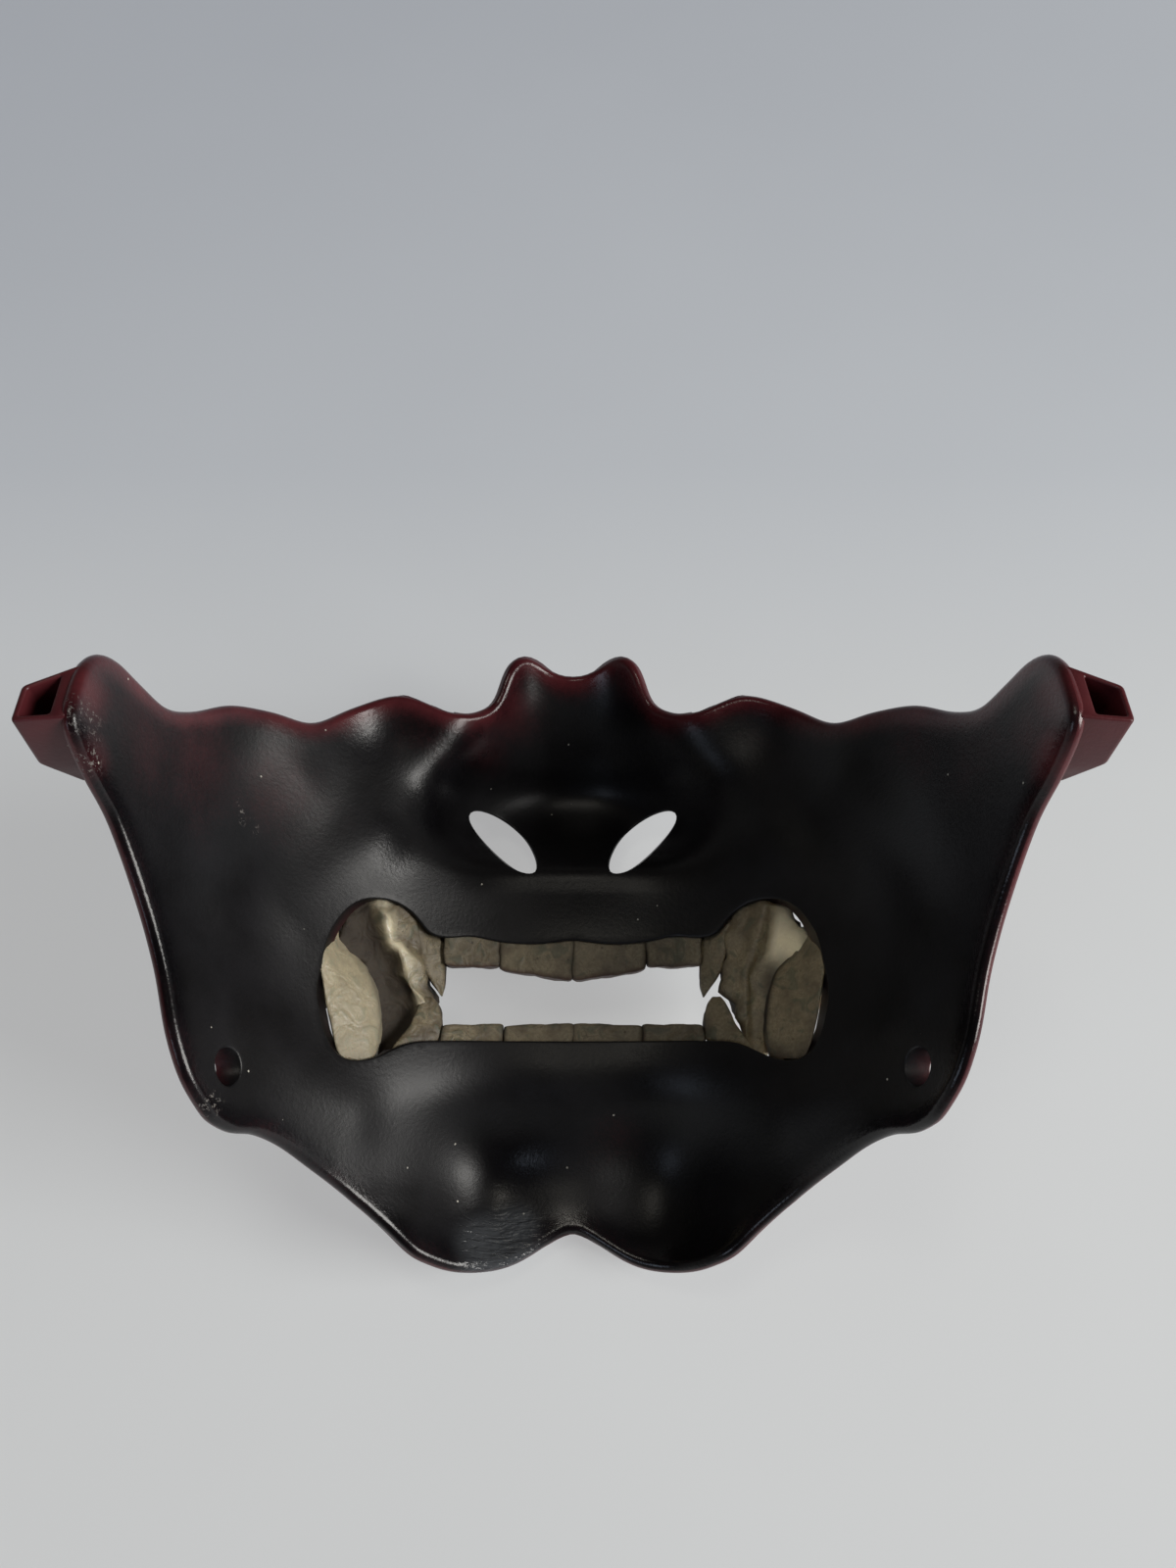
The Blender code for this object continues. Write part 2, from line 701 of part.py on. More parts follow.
def lay_down(anchor, items):
    """Turn the mask face down and set its foremost points on the ground."""
    points = []
    for item in items:
        work = solid_points(item)
        points += [vertex.co.copy() for vertex in work.verts]
        work.free()
    turn = Matrix.Rotation(rest_turn(points) - math.pi / 2, 4, "X")
    laid = [turn @ point for point in points]
    middle = (min(p.y for p in laid) + max(p.y for p in laid)) / 2
    anchor.rotation_euler = turn.to_euler()
    anchor.location = (0.0, -middle, -min(p.z for p in laid))


def build():
    """Make every piece of the mask."""
    for item in list(bpy.data.objects):
        bpy.data.objects.remove(item, do_unlink=True)
    parts = make_collection("oni_half_mask")
    cutters = make_collection("shell_cutters")
    socket_cutters = make_collection("socket_cutters")
    anchor = bpy.data.objects.new("lying_mask", None)
    parts.objects.link(anchor)
    shell = make_shell(parts, cutters, anchor)
    sheet = make_sheet()
    sheet_tree = BVHTree.FromBMesh(sheet)
    work = solid_points(shell)
    shell_tree = BVHTree.FromBMesh(work)

    def skin_depth(out, up):
        """How far forward the inner skin lies behind a tooth."""
        return sheet_tree.ray_cast(Vector((out, -FAR, up)), Vector((0.0, 1.0, 0.0)))[0].y

    items = [shell]
    for name in TEETH:
        for side in (-1, 1):
            items.append(make_tooth(name, side, skin_depth, parts, anchor))
    seat = make_seat(socket_cutters, anchor)
    for side in (-1, 1):
        items.append(make_socket(side, shell_tree, seat, parts, socket_cutters, anchor))
    sheet.free()
    work.free()
    lay_down(anchor, items)


build()
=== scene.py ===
# %% [markdown]
# # An oni half mask, seen from the wearer's side
#
# The real object is a thin half mask, cast in resin, sprayed and painted by hand. It lies face
# down on a pale table, so we look into the hollow that goes over the nose and the jaw: satin
# black lacquer inside, dark red creeping round the rims, and teeth painted like old bone.
#
# The solids of the mask come in first. Everything here is built around them, in metres. The
# dressed mask has to stay as big.

# %% Load the solids
import math

import bmesh
import bpy
import numpy as np
from mathutils import Matrix, Vector, noise
from mathutils.geometry import delaunay_2d_cdt


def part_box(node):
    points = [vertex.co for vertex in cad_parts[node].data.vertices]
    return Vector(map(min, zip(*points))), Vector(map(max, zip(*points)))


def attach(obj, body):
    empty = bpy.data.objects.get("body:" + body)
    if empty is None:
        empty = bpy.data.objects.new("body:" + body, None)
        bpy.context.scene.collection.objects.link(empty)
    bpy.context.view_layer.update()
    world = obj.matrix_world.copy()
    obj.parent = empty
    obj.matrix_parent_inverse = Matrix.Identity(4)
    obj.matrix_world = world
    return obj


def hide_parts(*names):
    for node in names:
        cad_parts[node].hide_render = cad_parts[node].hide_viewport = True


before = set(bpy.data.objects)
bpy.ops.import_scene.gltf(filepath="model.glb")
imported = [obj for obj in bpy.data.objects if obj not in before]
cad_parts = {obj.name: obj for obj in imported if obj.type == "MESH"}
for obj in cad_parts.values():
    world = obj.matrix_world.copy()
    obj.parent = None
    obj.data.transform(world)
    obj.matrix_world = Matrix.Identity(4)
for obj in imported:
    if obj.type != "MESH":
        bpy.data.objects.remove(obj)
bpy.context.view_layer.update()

MM = 0.001

# %% [markdown]
# ## The sizes of the mask
#
# These are the sizes the mask was cast to, as worn: X to the wearer's right, Y forward out
# of the mouth, Z up, and the middle of the mouth at the origin. Every form below is a small
# table of shares of these sizes, the way a mould maker keeps templates. A face could also be
# sculpted by hand, but tables can be read, checked and changed one number at a time.

# %% The sizes of the casting
INNER_HALF_WIDTH = 78.5 * MM
REACH = 88 * MM
HALF_ARC = 130 * MM
FACE_HEIGHT = 130 * MM
WALL = 3.2 * MM
print("the face is", round(2 * INNER_HALF_WIDTH / MM), "mm wide inside, its wall", WALL / MM, "mm")


# %% A smooth line through a table
def curve(rows, column, place):
    """A smooth line through one column of a table, read at places in its first column."""
    table = np.array(sorted(rows), float)
    xs, ys = table[:, 0], table[:, column]
    step = np.diff(xs)
    rise = np.diff(ys) / step
    middle = (rise[:-1] * step[1:] + rise[1:] * step[:-1]) / (step[:-1] + step[1:])
    slope = np.concatenate([rise[:1], middle, rise[-1:]])
    place = np.asarray(place, float)
    i = np.clip(np.searchsorted(xs, place, side="right") - 1, 0, len(xs) - 2)
    t = (place - xs[i]) / step[i]
    inside = (
        (1 + 2 * t) * (1 - t) ** 2 * ys[i]
        + t * (1 - t) ** 2 * step[i] * slope[i]
        + t * t * (3 - 2 * t) * ys[i + 1]
        + t * t * (t - 1) * step[i] * slope[i + 1]
    )
    before = ys[0] + (place - xs[0]) * slope[0]
    after = ys[-1] + (place - xs[-1]) * slope[-1]
    return np.where(place <= xs[0], before, np.where(place >= xs[-1], after, inside))


print("halfway between 0 and 1 the line passes", curve([(0, 0), (1, 1), (2, 0)], 1, 0.5))

# %% [markdown]
# ## The plain U of the face
#
# The inside of the mask starts as a plain U, wide at the cheeks and narrow at the chin, like
# a strip of card bent round a jaw. A place on it is a distance round the face and a height.
# Both are real distances, so they also measure paint and scratches later.


# %% Humps and arrows
def bell(distance):
    """A smooth hump: 1 at no distance, nothing past about 2."""
    return np.exp(-distance * distance)


def unit(arrows):
    """Arrows made one long."""
    return arrows / np.maximum(np.linalg.norm(arrows, axis=-1, keepdims=True), 1e-12)


print("a hump falls to", round(float(bell(1.0)), 2), "at its spread")

# %% The plain U
SECTION_POWER = 2.25
# Level sections from the bridge of the nose to the chin: height, how far forward, half width.
SECTIONS = [
    (0.646, -0.09, 0.970), (0.460, -0.03, 1.000), (0.310, 0.00, 1.000), (0.154, 0.00, 0.968),
    (0.000, 0.00, 0.910), (-0.154, -0.01, 0.847), (-0.292, 0.01, 0.790), (-0.370, -0.04, 0.740),
    (-0.430, -0.16, 0.690),
]


def section(around, height):
    """The plain U of the shell, without relief."""
    share = height / FACE_HEIGHT
    front = curve(SECTIONS, 1, share) * REACH
    half_width = curve(SECTIONS, 2, share) * INNER_HALF_WIDTH
    out = np.abs(around)
    turn = np.minimum(out / HALF_ARC, 1) * math.pi / 2
    side = np.sin(turn) ** (2 / SECTION_POWER)
    back = 1 - np.maximum(np.cos(turn), 0) ** (2 / SECTION_POWER)
    past = np.maximum(out - HALF_ARC, 0)
    depth = front - (REACH + front) * back - past
    return np.stack([np.sign(around) * half_width * side, depth, height + 0 * out], -1)


print("the U is", round(2 * section(np.array([HALF_ARC]), np.array([0.0]))[0, 0] / MM),
      "mm wide behind the mouth")

# %% [markdown]
# ## The relief
#
# The nose, the cheeks and the chin lobes push that U out, and creases pull it in. Each is
# added along the skin's own normal, as clay is pressed onto a form. The nose is a ridge with
# a table of its own, and the rest are smooth humps and grooves that fade by themselves.

# %% The ridge of the nose
NOSE_DEPTH = 25 * MM
NOSE_HALF_WIDTH = 31 * MM
NOSE_POWER = 2.4
NOSE_SPREAD = 0.72
# Height, depth, half width.
NOSE = [
    (0.677, 0.16, 0.42), (0.600, 0.36, 0.48), (0.508, 0.56, 0.58), (0.415, 0.88, 0.77),
    (0.362, 1.00, 0.94), (0.308, 0.80, 1.00), (0.262, 0.36, 1.00), (0.223, 0.06, 0.97),
    (0.185, 0.00, 0.90),
]


def nose_rise(around, share):
    """How far the nose pushes the skin out."""
    share = np.maximum(share, NOSE[-1][0])
    half_width = curve(NOSE, 2, share) * NOSE_HALF_WIDTH
    fade = np.exp(-(np.abs(around) / half_width / NOSE_SPREAD) ** NOSE_POWER)
    return curve(NOSE, 1, share) * NOSE_DEPTH * fade


NOSE_TIP_UP = 0.362
print("the nose is", round(float(nose_rise(0.0, NOSE_TIP_UP)) / MM, 1), "mm deep")


# %% Distance from a crease
def from_line(around, height, out_0, up_0, out_1, up_1):
    """Distance from a line drawn on the skin, as a share of HALF_ARC."""
    scale = FACE_HEIGHT / HALF_ARC
    here = np.stack([np.abs(around) / HALF_ARC, height / HALF_ARC], -1)
    start = np.array([out_0, up_0 * scale])
    run = np.array([out_1, up_1 * scale]) - start
    along = np.clip(((here - start) @ run) / (run @ run), 0, 1)
    return np.linalg.norm(here - start - along[..., None] * run, axis=-1)


print("from the mouth's middle to the nose's tip:", round(float(from_line(
    np.zeros(1), np.zeros(1), 0, NOSE_TIP_UP, 0, NOSE_TIP_UP + 0.01)[0]) * HALF_ARC / MM), "mm")

# %% Swells, creases and the whole relief
SWELL = 7 * MM
# Soft swells: place round and its spread, place in height and its spread, rise.
SWELLS = [
    (0.135, 0.065, 0.285, 0.070, 0.50), (0.062, 0.030, 0.560, 0.060, 0.25),
    (0.320, 0.110, 0.440, 0.100, 0.55), (0.580, 0.140, 0.300, 0.130, 0.30),
    (0.000, 0.220, 0.130, 0.090, 0.25), (0.155, 0.125, -0.300, 0.140, 1.00),
    (0.000, 0.300, -0.130, 0.060, -0.25),
]
# Creases: start round and up, end round and up, half width, rise.
CREASES = [
    (0.190, 0.520, 0.340, 0.250, 0.075, -0.16), (0.330, 0.260, 0.500, 0.110, 0.055, -0.12),
    (0.480, 0.330, 0.660, 0.120, 0.055, -0.15), (0.430, -0.180, 0.660, -0.060, 0.060, -0.15),
]


def relief(around, height):
    """How far nose, swells and creases push the skin out."""
    share = height / FACE_HEIGHT
    place = np.abs(around) / HALF_ARC
    rise = nose_rise(around, share)
    for out, out_spread, up, up_spread, proud in SWELLS:
        across = bell((place - out) / out_spread)
        if out:
            across = across + bell((place + out) / out_spread)
        rise = rise + proud * SWELL * across * bell((share - up) / up_spread)
    for out_0, up_0, out_1, up_1, half_width, proud in CREASES:
        rise = rise + proud * SWELL * bell(from_line(around, height, out_0, up_0, out_1, up_1)
                                           / half_width)
    return rise


print("the relief has", len(SWELLS), "swells and", len(CREASES), "creases a side")


# %% The inner skin
def outward(surface, around, height, probe):
    """The direction square to a surface, away from the face."""
    across = surface(around + probe, height) - surface(around - probe, height)
    upward = surface(around, height + probe) - surface(around, height - probe)
    return unit(np.cross(upward, across))


def skin(around, height):
    """Points of the inner skin."""
    around, height = np.asarray(around, float), np.asarray(height, float)
    away = outward(section, around, height, 0.05 * MM)
    return section(around, height) + away * relief(around, height)[..., None]


tip = skin(np.array([0.0]), np.array([NOSE_TIP_UP * FACE_HEIGHT]))[0]
print("the hollow of the nose reaches", round(tip[1] / MM, 1), "mm in front of the mouth")

# %% [markdown]
# ## The openings
#
# The mouth, the nostrils and the strap holes are drawn as rings seen from behind, the way
# they were cut through the casting. Then each ring is laid on the skin: we look for the place
# round and up whose point on the skin falls on the ring. Newton's method finds it in a few
# steps for all points at once. A boolean cut would do it too, but leaves ragged faces.

# %% The lines of the mouth
MOUTH_HALF_WIDTH = 50.3 * MM
MOUTH_RISE = 20.1 * MM
MOUTH_DROP = 13.2 * MM
# Share of the way out, share of the rise or the drop.
UPPER_LINE = [
    (0.00, 0.65), (0.17, 0.60), (0.32, 0.62), (0.44, 0.67), (0.55, 0.64), (0.62, 0.69),
    (0.66, 0.83), (0.72, 0.95), (0.82, 1.00), (0.90, 0.92), (0.95, 0.74), (0.985, 0.46),
    (1.00, 0.12),
]
LOWER_LINE = [
    (0.00, 0.66), (0.30, 0.66), (0.55, 0.67), (0.66, 0.70), (0.72, 0.79), (0.78, 0.93),
    (0.85, 1.00), (0.90, 0.96), (0.945, 0.74), (0.98, 0.38), (1.00, 0.04),
]


def upper_line(out):
    """Height of the mouth's upper line."""
    return curve(UPPER_LINE, 1, np.abs(out) / MOUTH_HALF_WIDTH) * MOUTH_RISE


def lower_line(out):
    """Height of the mouth's lower line."""
    return -curve(LOWER_LINE, 1, np.abs(out) / MOUTH_HALF_WIDTH) * MOUTH_DROP


print("the mouth is", round(2 * MOUTH_HALF_WIDTH / MM), "mm wide and",
      round(float(upper_line(0.0) - lower_line(0.0)) / MM, 1), "mm high in the middle")


# %% Even rings
def even_ring(ring, step, rounding=0):
    """A closed ring with its points a step apart, its corners softened."""
    ring = np.asarray(ring, float)
    closed = np.vstack([ring, ring[:1]])
    gone = np.concatenate([[0], np.cumsum(np.linalg.norm(np.diff(closed, axis=0), axis=1))])
    count = max(12, int(round(gone[-1] / step)))
    at = np.linspace(0, gone[-1], count, endpoint=False)
    even = np.stack([np.interp(at, gone, closed[:, k]) for k in (0, 1)], -1)
    for _ in range(rounding):
        even = (np.roll(even, 1, axis=0) + 2 * even + np.roll(even, -1, axis=0)) / 4
    return even


def into_ring(ring):
    """For each point of a counter-clockwise ring, the direction to its inside."""
    run = unit(np.roll(ring, -1, axis=0) - np.roll(ring, 1, axis=0))
    return np.stack([-run[:, 1], run[:, 0]], -1)


square = even_ring([(0, 0), (1, 0), (1, 1), (0, 1)], 0.25)
print("a square of side 1 gets", len(square), "points, 0.25 apart")

# %% The mouth as a ring
FROM_BEHIND = np.array([[1.0, 0.0, 0.0], [0.0, 0.0, 1.0]])
outs = MOUTH_HALF_WIDTH * np.sin(np.linspace(-1, 1, 161) * math.pi / 2)
mouth_ring = np.vstack([np.stack([outs, lower_line(outs)], -1),
                        np.stack([outs[::-1], upper_line(outs[::-1])], -1)])
print("the mouth's ring is drawn with", len(mouth_ring), "points")


# %% A first guess for Newton's method
def first_guess(points):
    """A rough place round and up for points that lie near the skin."""
    half_width = curve(SECTIONS, 2, points[:, 2] / FACE_HEIGHT) * INNER_HALF_WIDTH
    share = np.clip(np.abs(points[:, 0]) / half_width, 0, 1) ** (SECTION_POWER / 2)
    return np.stack([np.sign(points[:, 0]) * np.arcsin(share) * 2 / math.pi * HALF_ARC,
                     points[:, 2]], -1)


corner = np.array([[MOUTH_HALF_WIDTH, 0.0, 0.0]])
print("the mouth's corner lies about", round(first_guess(corner)[0, 0] / MM), "mm round")

# %% Laying a ring on a skin
LAY_PROBE = 0.02 * MM
LAY_STEPS = 14
LONGEST_STEP = 4 * MM
LEAST_DET = 0.05


def lay_on(surface, ring, look, start):
    """Places round and up whose points on a surface, looked at in two directions, hit a ring."""
    place = start.copy()
    for _ in range(LAY_STEPS):
        here = surface(place[:, 0], place[:, 1]) @ look.T
        d_round = (surface(place[:, 0] + LAY_PROBE, place[:, 1]) @ look.T - here) / LAY_PROBE
        d_up = (surface(place[:, 0], place[:, 1] + LAY_PROBE) @ look.T - here) / LAY_PROBE
        miss = ring - here
        det = d_round[:, 0] * d_up[:, 1] - d_round[:, 1] * d_up[:, 0]
        det = np.where(np.abs(det) < LEAST_DET, LEAST_DET, det)
        step_round = (miss[:, 0] * d_up[:, 1] - miss[:, 1] * d_up[:, 0]) / det
        step_up = (d_round[:, 0] * miss[:, 1] - d_round[:, 1] * miss[:, 0]) / det
        step = np.stack([step_round, step_up], -1)
        place += np.clip(step, -LONGEST_STEP, LONGEST_STEP)
    return place


found = lay_on(skin, corner[:, [0, 2]], FROM_BEHIND, first_guess(corner))
print("on the skin it lies", round(found[0, 0] / MM, 1), "mm round")

# %% [markdown]
# ## The outer skin
#
# The front of the mask is the inner skin moved out by the wall, thicker on the lips, with
# shallow wrinkles cut into the cheeks, the nose's bridge and the chin. It could be a mesh
# thickened by a modifier, but as a formula of its own it can take forms that the inside
# doesn't have, and its openings can be flared and slanted.

# %% The lips
LIP_RISE = 2.5 * MM
LIP_BAND = 4.5 * MM
LIP_REACH = 0.85
LIP_FADE = 6


def lip_weight(points):
    """1 on the crest of the lips and 0 away from them."""
    out = np.minimum(np.abs(points[:, 0]), MOUTH_HALF_WIDTH)
    share = np.abs(points[:, 0]) / MOUTH_HALF_WIDTH / LIP_REACH
    above = (points[:, 2] - upper_line(out) - LIP_BAND) / LIP_BAND
    below = (lower_line(out) - LIP_BAND - points[:, 2]) / LIP_BAND
    return np.maximum(0, 1 - share ** LIP_FADE) * np.maximum(bell(above), bell(below))


print("the lips stand up to", LIP_RISE / MM, "mm proud of the wall")

# %% Wrinkles and the outer skin
SMOOTHING = 0.35 * MM
# Wrinkles cut into the front: start round and up, end round and up, half width, rise in mm.
WRINKLES = [
    (0.20, 0.50, 0.30, 0.33, 0.012, -0.7), (0.24, 0.52, 0.36, 0.35, 0.012, -0.5),
    (0.27, 0.28, 0.45, 0.10, 0.014, -0.8), (0.33, 0.30, 0.50, 0.14, 0.013, -0.5),
    (0.42, -0.06, 0.62, -0.02, 0.012, -0.4), (0.42, -0.14, 0.60, -0.10, 0.012, -0.4),
    (0.055, 0.56, 0.075, 0.44, 0.012, -0.5), (0.10, -0.17, 0.30, -0.14, 0.018, -0.5),
    (0.02, -0.20, 0.02, -0.33, 0.014, -0.5),
]


def outer_skin(around, height):
    """Points of the outer skin: the wall's thickness away, thicker on the lips."""
    around, height = np.asarray(around, float), np.asarray(height, float)
    points = skin(around, height)
    away = outward(skin, around, height, SMOOTHING)
    lift = WALL + LIP_RISE * lip_weight(points)
    for out_0, up_0, out_1, up_1, half_width, rise in WRINKLES:
        gap = from_line(around, height, out_0, up_0, out_1, up_1) / half_width
        lift = lift + rise * MM * (bell(gap) - 0.5 * bell((gap - 1.8) / 0.8))
    return points + away * lift[:, None]


front = outer_skin(np.array([0.0]), np.array([NOSE_TIP_UP * FACE_HEIGHT]))[0]
print("at the nose's tip the outer skin is", round((front[1] - tip[1]) / MM, 1), "mm further out")

# %% [markdown]
# ## From a flat pattern to a shell
#
# A leather worker would cut a flat pattern and bend it, and we do the same. The pattern is the
# outline of the skin with its holes, filled with evenly spaced points and joined by a Delaunay
# triangulation. One pattern becomes the inner skin and a second one the outer skin. The rim
# follows tables too, read along the way from the middle of the face to its side.

# %% The rim as a ring
# Share of the way along the edge, then height or distance round.
TOP_EDGE = [
    (0.000, 0.558), (0.025, 0.568), (0.055, 0.590), (0.080, 0.588), (0.100, 0.560),
    (0.115, 0.515), (0.145, 0.489), (0.195, 0.482), (0.310, 0.503), (0.383, 0.475),
    (0.473, 0.433), (0.570, 0.431), (0.653, 0.421), (0.740, 0.388), (0.800, 0.376),
    (0.873, 0.390), (0.940, 0.400), (0.975, 0.390), (1.000, 0.366),
]
BOTTOM_EDGE = [
    (0.000, -0.348), (0.050, -0.360), (0.130, -0.375), (0.230, -0.381), (0.350, -0.382),
    (0.430, -0.373), (0.510, -0.342), (0.590, -0.306), (0.715, -0.254), (0.800, -0.221),
    (0.870, -0.205), (0.940, -0.201), (1.000, -0.185),
]
SIDE_EDGE = [
    (0.000, 0.732), (0.090, 0.772), (0.170, 0.788), (0.360, 0.798), (0.500, 0.816),
    (0.625, 0.846), (0.690, 0.870), (0.760, 0.915), (0.860, 0.960), (0.920, 0.953),
    (1.000, 0.938),
]


def rim_ring():
    """The outline of the whole skin as a ring of places round and up."""
    along = np.linspace(-1, 1, 401)
    round_low = along * curve(SIDE_EDGE, 1, 0.0) * HALF_ARC
    round_top = along * curve(SIDE_EDGE, 1, 1.0) * HALF_ARC
    low = np.stack([round_low, curve(BOTTOM_EDGE, 1, np.abs(along)) * FACE_HEIGHT], -1)
    top = np.stack([round_top, curve(TOP_EDGE, 1, np.abs(along)) * FACE_HEIGHT], -1)
    up = np.linspace(0, 1, 121)[1:-1]
    side_round = curve(SIDE_EDGE, 1, up) * HALF_ARC
    side_up = low[-1, 1] + up * (top[-1, 1] - low[-1, 1])
    right = np.stack([side_round, side_up], -1)
    left = np.stack([-side_round, side_up], -1)[::-1]
    return np.vstack([low, right, top[::-1], left])


print("the rim's ring is drawn with", len(rim_ring()), "points")

# %% [markdown]
# The nostrils are slits, a lens shape that leans outwards. In front they open a little wider,
# as a nose does. The strap holes are drilled at a slant, so that from behind we see the bore's
# red wall, and so the centre lies further round on the outer skin.

# %% The nostrils
NOSTRIL_LENGTH = 19.6 * MM
NOSTRIL_WIDTH = 6.2 * MM
NOSTRIL_OUT = 16.0 * MM
NOSTRIL_UP = 33.3 * MM
NOSTRIL_SLANT = math.radians(39)
NOSTRIL_TILT = math.radians(15)
NOSTRIL_FLARE = 0.9 * MM
NOSTRIL_STEP = 0.7 * MM


def nostril_edges(surface):
    """Name, flat ring, its two directions and its centre for each nostril in a skin."""
    turn = np.linspace(0, 2 * math.pi, 48, endpoint=False)
    lens = even_ring(np.stack([np.cos(turn) * NOSTRIL_LENGTH / 2,
                               np.sin(turn) * NOSTRIL_WIDTH / 2], -1), NOSTRIL_STEP)
    if surface is outer_skin:
        lens = lens - into_ring(lens) * NOSTRIL_FLARE
    tilt = Matrix.Rotation(NOSTRIL_TILT, 3, "X")
    found = []
    for side in (-1, 1):
        turned = tilt @ Matrix.Rotation(-side * NOSTRIL_SLANT, 3, "Y")
        look = np.array([turned @ Vector((1, 0, 0)), turned @ Vector((0, 0, 1))])
        centre = np.array(tilt @ Vector((side * NOSTRIL_OUT, 0, NOSTRIL_UP)))
        found.append(("nostril", lens, look, centre))
    return found


print("each nostril has", len(nostril_edges(skin)[0][1]), "points round it")

# %% The strap holes
PROBE = 0.05 * MM
STRAP_HOLE = 6.6 * MM
STRAP_HOLE_SLANT = 3.0 * MM
STRAP_HOLE_ROUND = 90 * MM
STRAP_HOLE_DROP = 15.2 * MM


def strap_hole_edges(surface):
    """Name, flat ring, its two directions and its centre for each strap hole in a skin."""
    turn = np.linspace(0, 2 * math.pi, 32, endpoint=False)
    disc = np.stack([np.cos(turn), np.sin(turn)], -1) * STRAP_HOLE / 2
    slant = STRAP_HOLE_SLANT if surface is outer_skin else 0.0
    found = []
    for side in (-1, 1):
        place = (np.array([side * (STRAP_HOLE_ROUND + slant)]), np.array([-STRAP_HOLE_DROP]))
        away = outward(skin, *place, PROBE)[0]
        up = unit(np.array([0.0, 0.0, 1.0]) - away[2] * away)
        look = np.array([np.cross(away, up), up])
        found.append(("strap_hole", disc, look, surface(*place)[0]))
    return found


print("the strap holes lie at", (strap_hole_edges(skin)[1][3] / MM).round(1), "mm")

# %% Every edge of a skin
SPACING = 1.15 * MM
RIM_RADIUS = 1.45 * MM
EDGE_RADIUS = 0.45 * MM


def make_rings(surface):
    """Every edge of one skin in its flat pattern: the rim, the mouth and the small holes."""
    rim = even_ring(rim_ring(), SPACING, 3)
    rings = [("rim", rim + into_ring(rim) * RIM_RADIUS)]
    mouth = [("mouth", even_ring(mouth_ring, SPACING, 2), FROM_BEHIND, np.zeros(3))]
    for name, ring, look, centre in mouth + nostril_edges(surface) + strap_hole_edges(surface):
        grown = ring - into_ring(ring) * EDGE_RADIUS
        on_plane = grown @ look + centre
        rings.append((name, lay_on(surface, grown + look @ centre, look, first_guess(on_plane))))
    return rings


inner_rings = make_rings(skin)
outer_rings = make_rings(outer_skin)
print("the edges of each skin:", [name for name, _ in inner_rings])


# %% Points inside a pattern
def inside_ring(points, ring):
    """True for each point that lies inside a ring."""
    found = np.zeros(len(points), bool)
    for (x0, y0), (x1, y1) in zip(ring, np.roll(ring, -1, axis=0)):
        crosses = (y0 > points[:, 1]) != (y1 > points[:, 1])
        if y0 != y1:
            edge = x0 + (points[:, 1] - y0) * (x1 - x0) / (y1 - y0)
            found ^= crosses & (points[:, 0] < edge)
    return found


def in_pattern(points, rings):
    """True for each point inside the rim and outside every hole."""
    keep = inside_ring(points, rings[0][1])
    for _, ring in rings[1:]:
        keep &= ~inside_ring(points, ring)
    return keep


corners = np.array([[0.0, 0.0], [0.0, 0.3 * FACE_HEIGHT]])
print("the mouth's middle and the nose are in the pattern:", in_pattern(corners, inner_rings))

# %% Spreading the points
ROW_STEP = 0.866
PATTERN_LOW, PATTERN_HIGH = -0.46, 0.64
EDGE_ROOM = 0.6


def spread_points(rings):
    """Evenly spaced places inside a pattern, not too near its edges."""
    rows = []
    row_share = SPACING * ROW_STEP / FACE_HEIGHT
    for k, height in enumerate(np.arange(PATTERN_LOW, PATTERN_HIGH, row_share)):
        offset = 0.5 * SPACING * (k % 2)
        line = np.arange(-HALF_ARC, HALF_ARC, SPACING) + offset
        rows.append(np.stack([line, np.full(len(line), height * FACE_HEIGHT)], -1))
    inner = np.vstack(rows)
    inner = inner[in_pattern(inner, rings)]
    edge_points = np.vstack([ring for _, ring in rings])
    near = np.array([np.min(np.sum((edge_points - p) ** 2, axis=1)) for p in inner])
    return inner[near > (EDGE_ROOM * SPACING) ** 2]


print("rows of points are", round(SPACING * ROW_STEP / MM, 2), "mm apart")

# %% Filling a pattern with triangles
PATTERN_SCALE = 1000.0


def fill_pattern(rings):
    """Places and triangles of a flat pattern between its rim and its holes."""
    points = np.vstack([ring for _, ring in rings] + [spread_points(rings)])
    edges, start = [], 0
    for _, ring in rings:
        count = len(ring)
        edges += [(start + i, start + (i + 1) % count) for i in range(count)]
        start += count
    made = delaunay_2d_cdt([Vector(p * PATTERN_SCALE) for p in points], edges, [], 0, 1e-6)
    places = np.array([p[:] for p in made[0]]) / PATTERN_SCALE
    triangles = np.array([f for f in made[2]])
    moved = {old: new for new, olds in enumerate(made[3]) for old in olds}
    loops, start = [], 0
    for _, ring in rings:
        loops.append([moved[start + i] for i in range(len(ring))])
        start += len(ring)
    return places, triangles[in_pattern(places[triangles].mean(axis=1), rings)], loops


inner_places, inner_triangles, inner_loops = fill_pattern(inner_rings)
outer_places, outer_triangles, outer_loops = fill_pattern(outer_rings)
print("the skins have", len(inner_triangles), "and", len(outer_triangles), "triangles")

# %% [markdown]
# ## Joining the two skins
#
# A cast rim is sanded round and rolls a little outwards. Every edge between the skins is
# closed by a bead: it starts on the inner skin, turns through a quarter circle, crosses the
# wall and turns again onto the outer skin. The rim takes nearly half of the wall as its
# radius, while the mouth, where teeth were set, keeps a tight edge. A bevel modifier would
# need sharp corners first, and gives less say over each edge.

# %% Rolling the rim
RIM_ROLL = 0.25 * MM
RIM_BAND = 4.0 * MM


def edge_distance(places, ring):
    """How far each place lies from a ring, along the skin."""
    return np.array([np.sqrt(np.min(np.sum((ring - p) ** 2, axis=1))) for p in places])


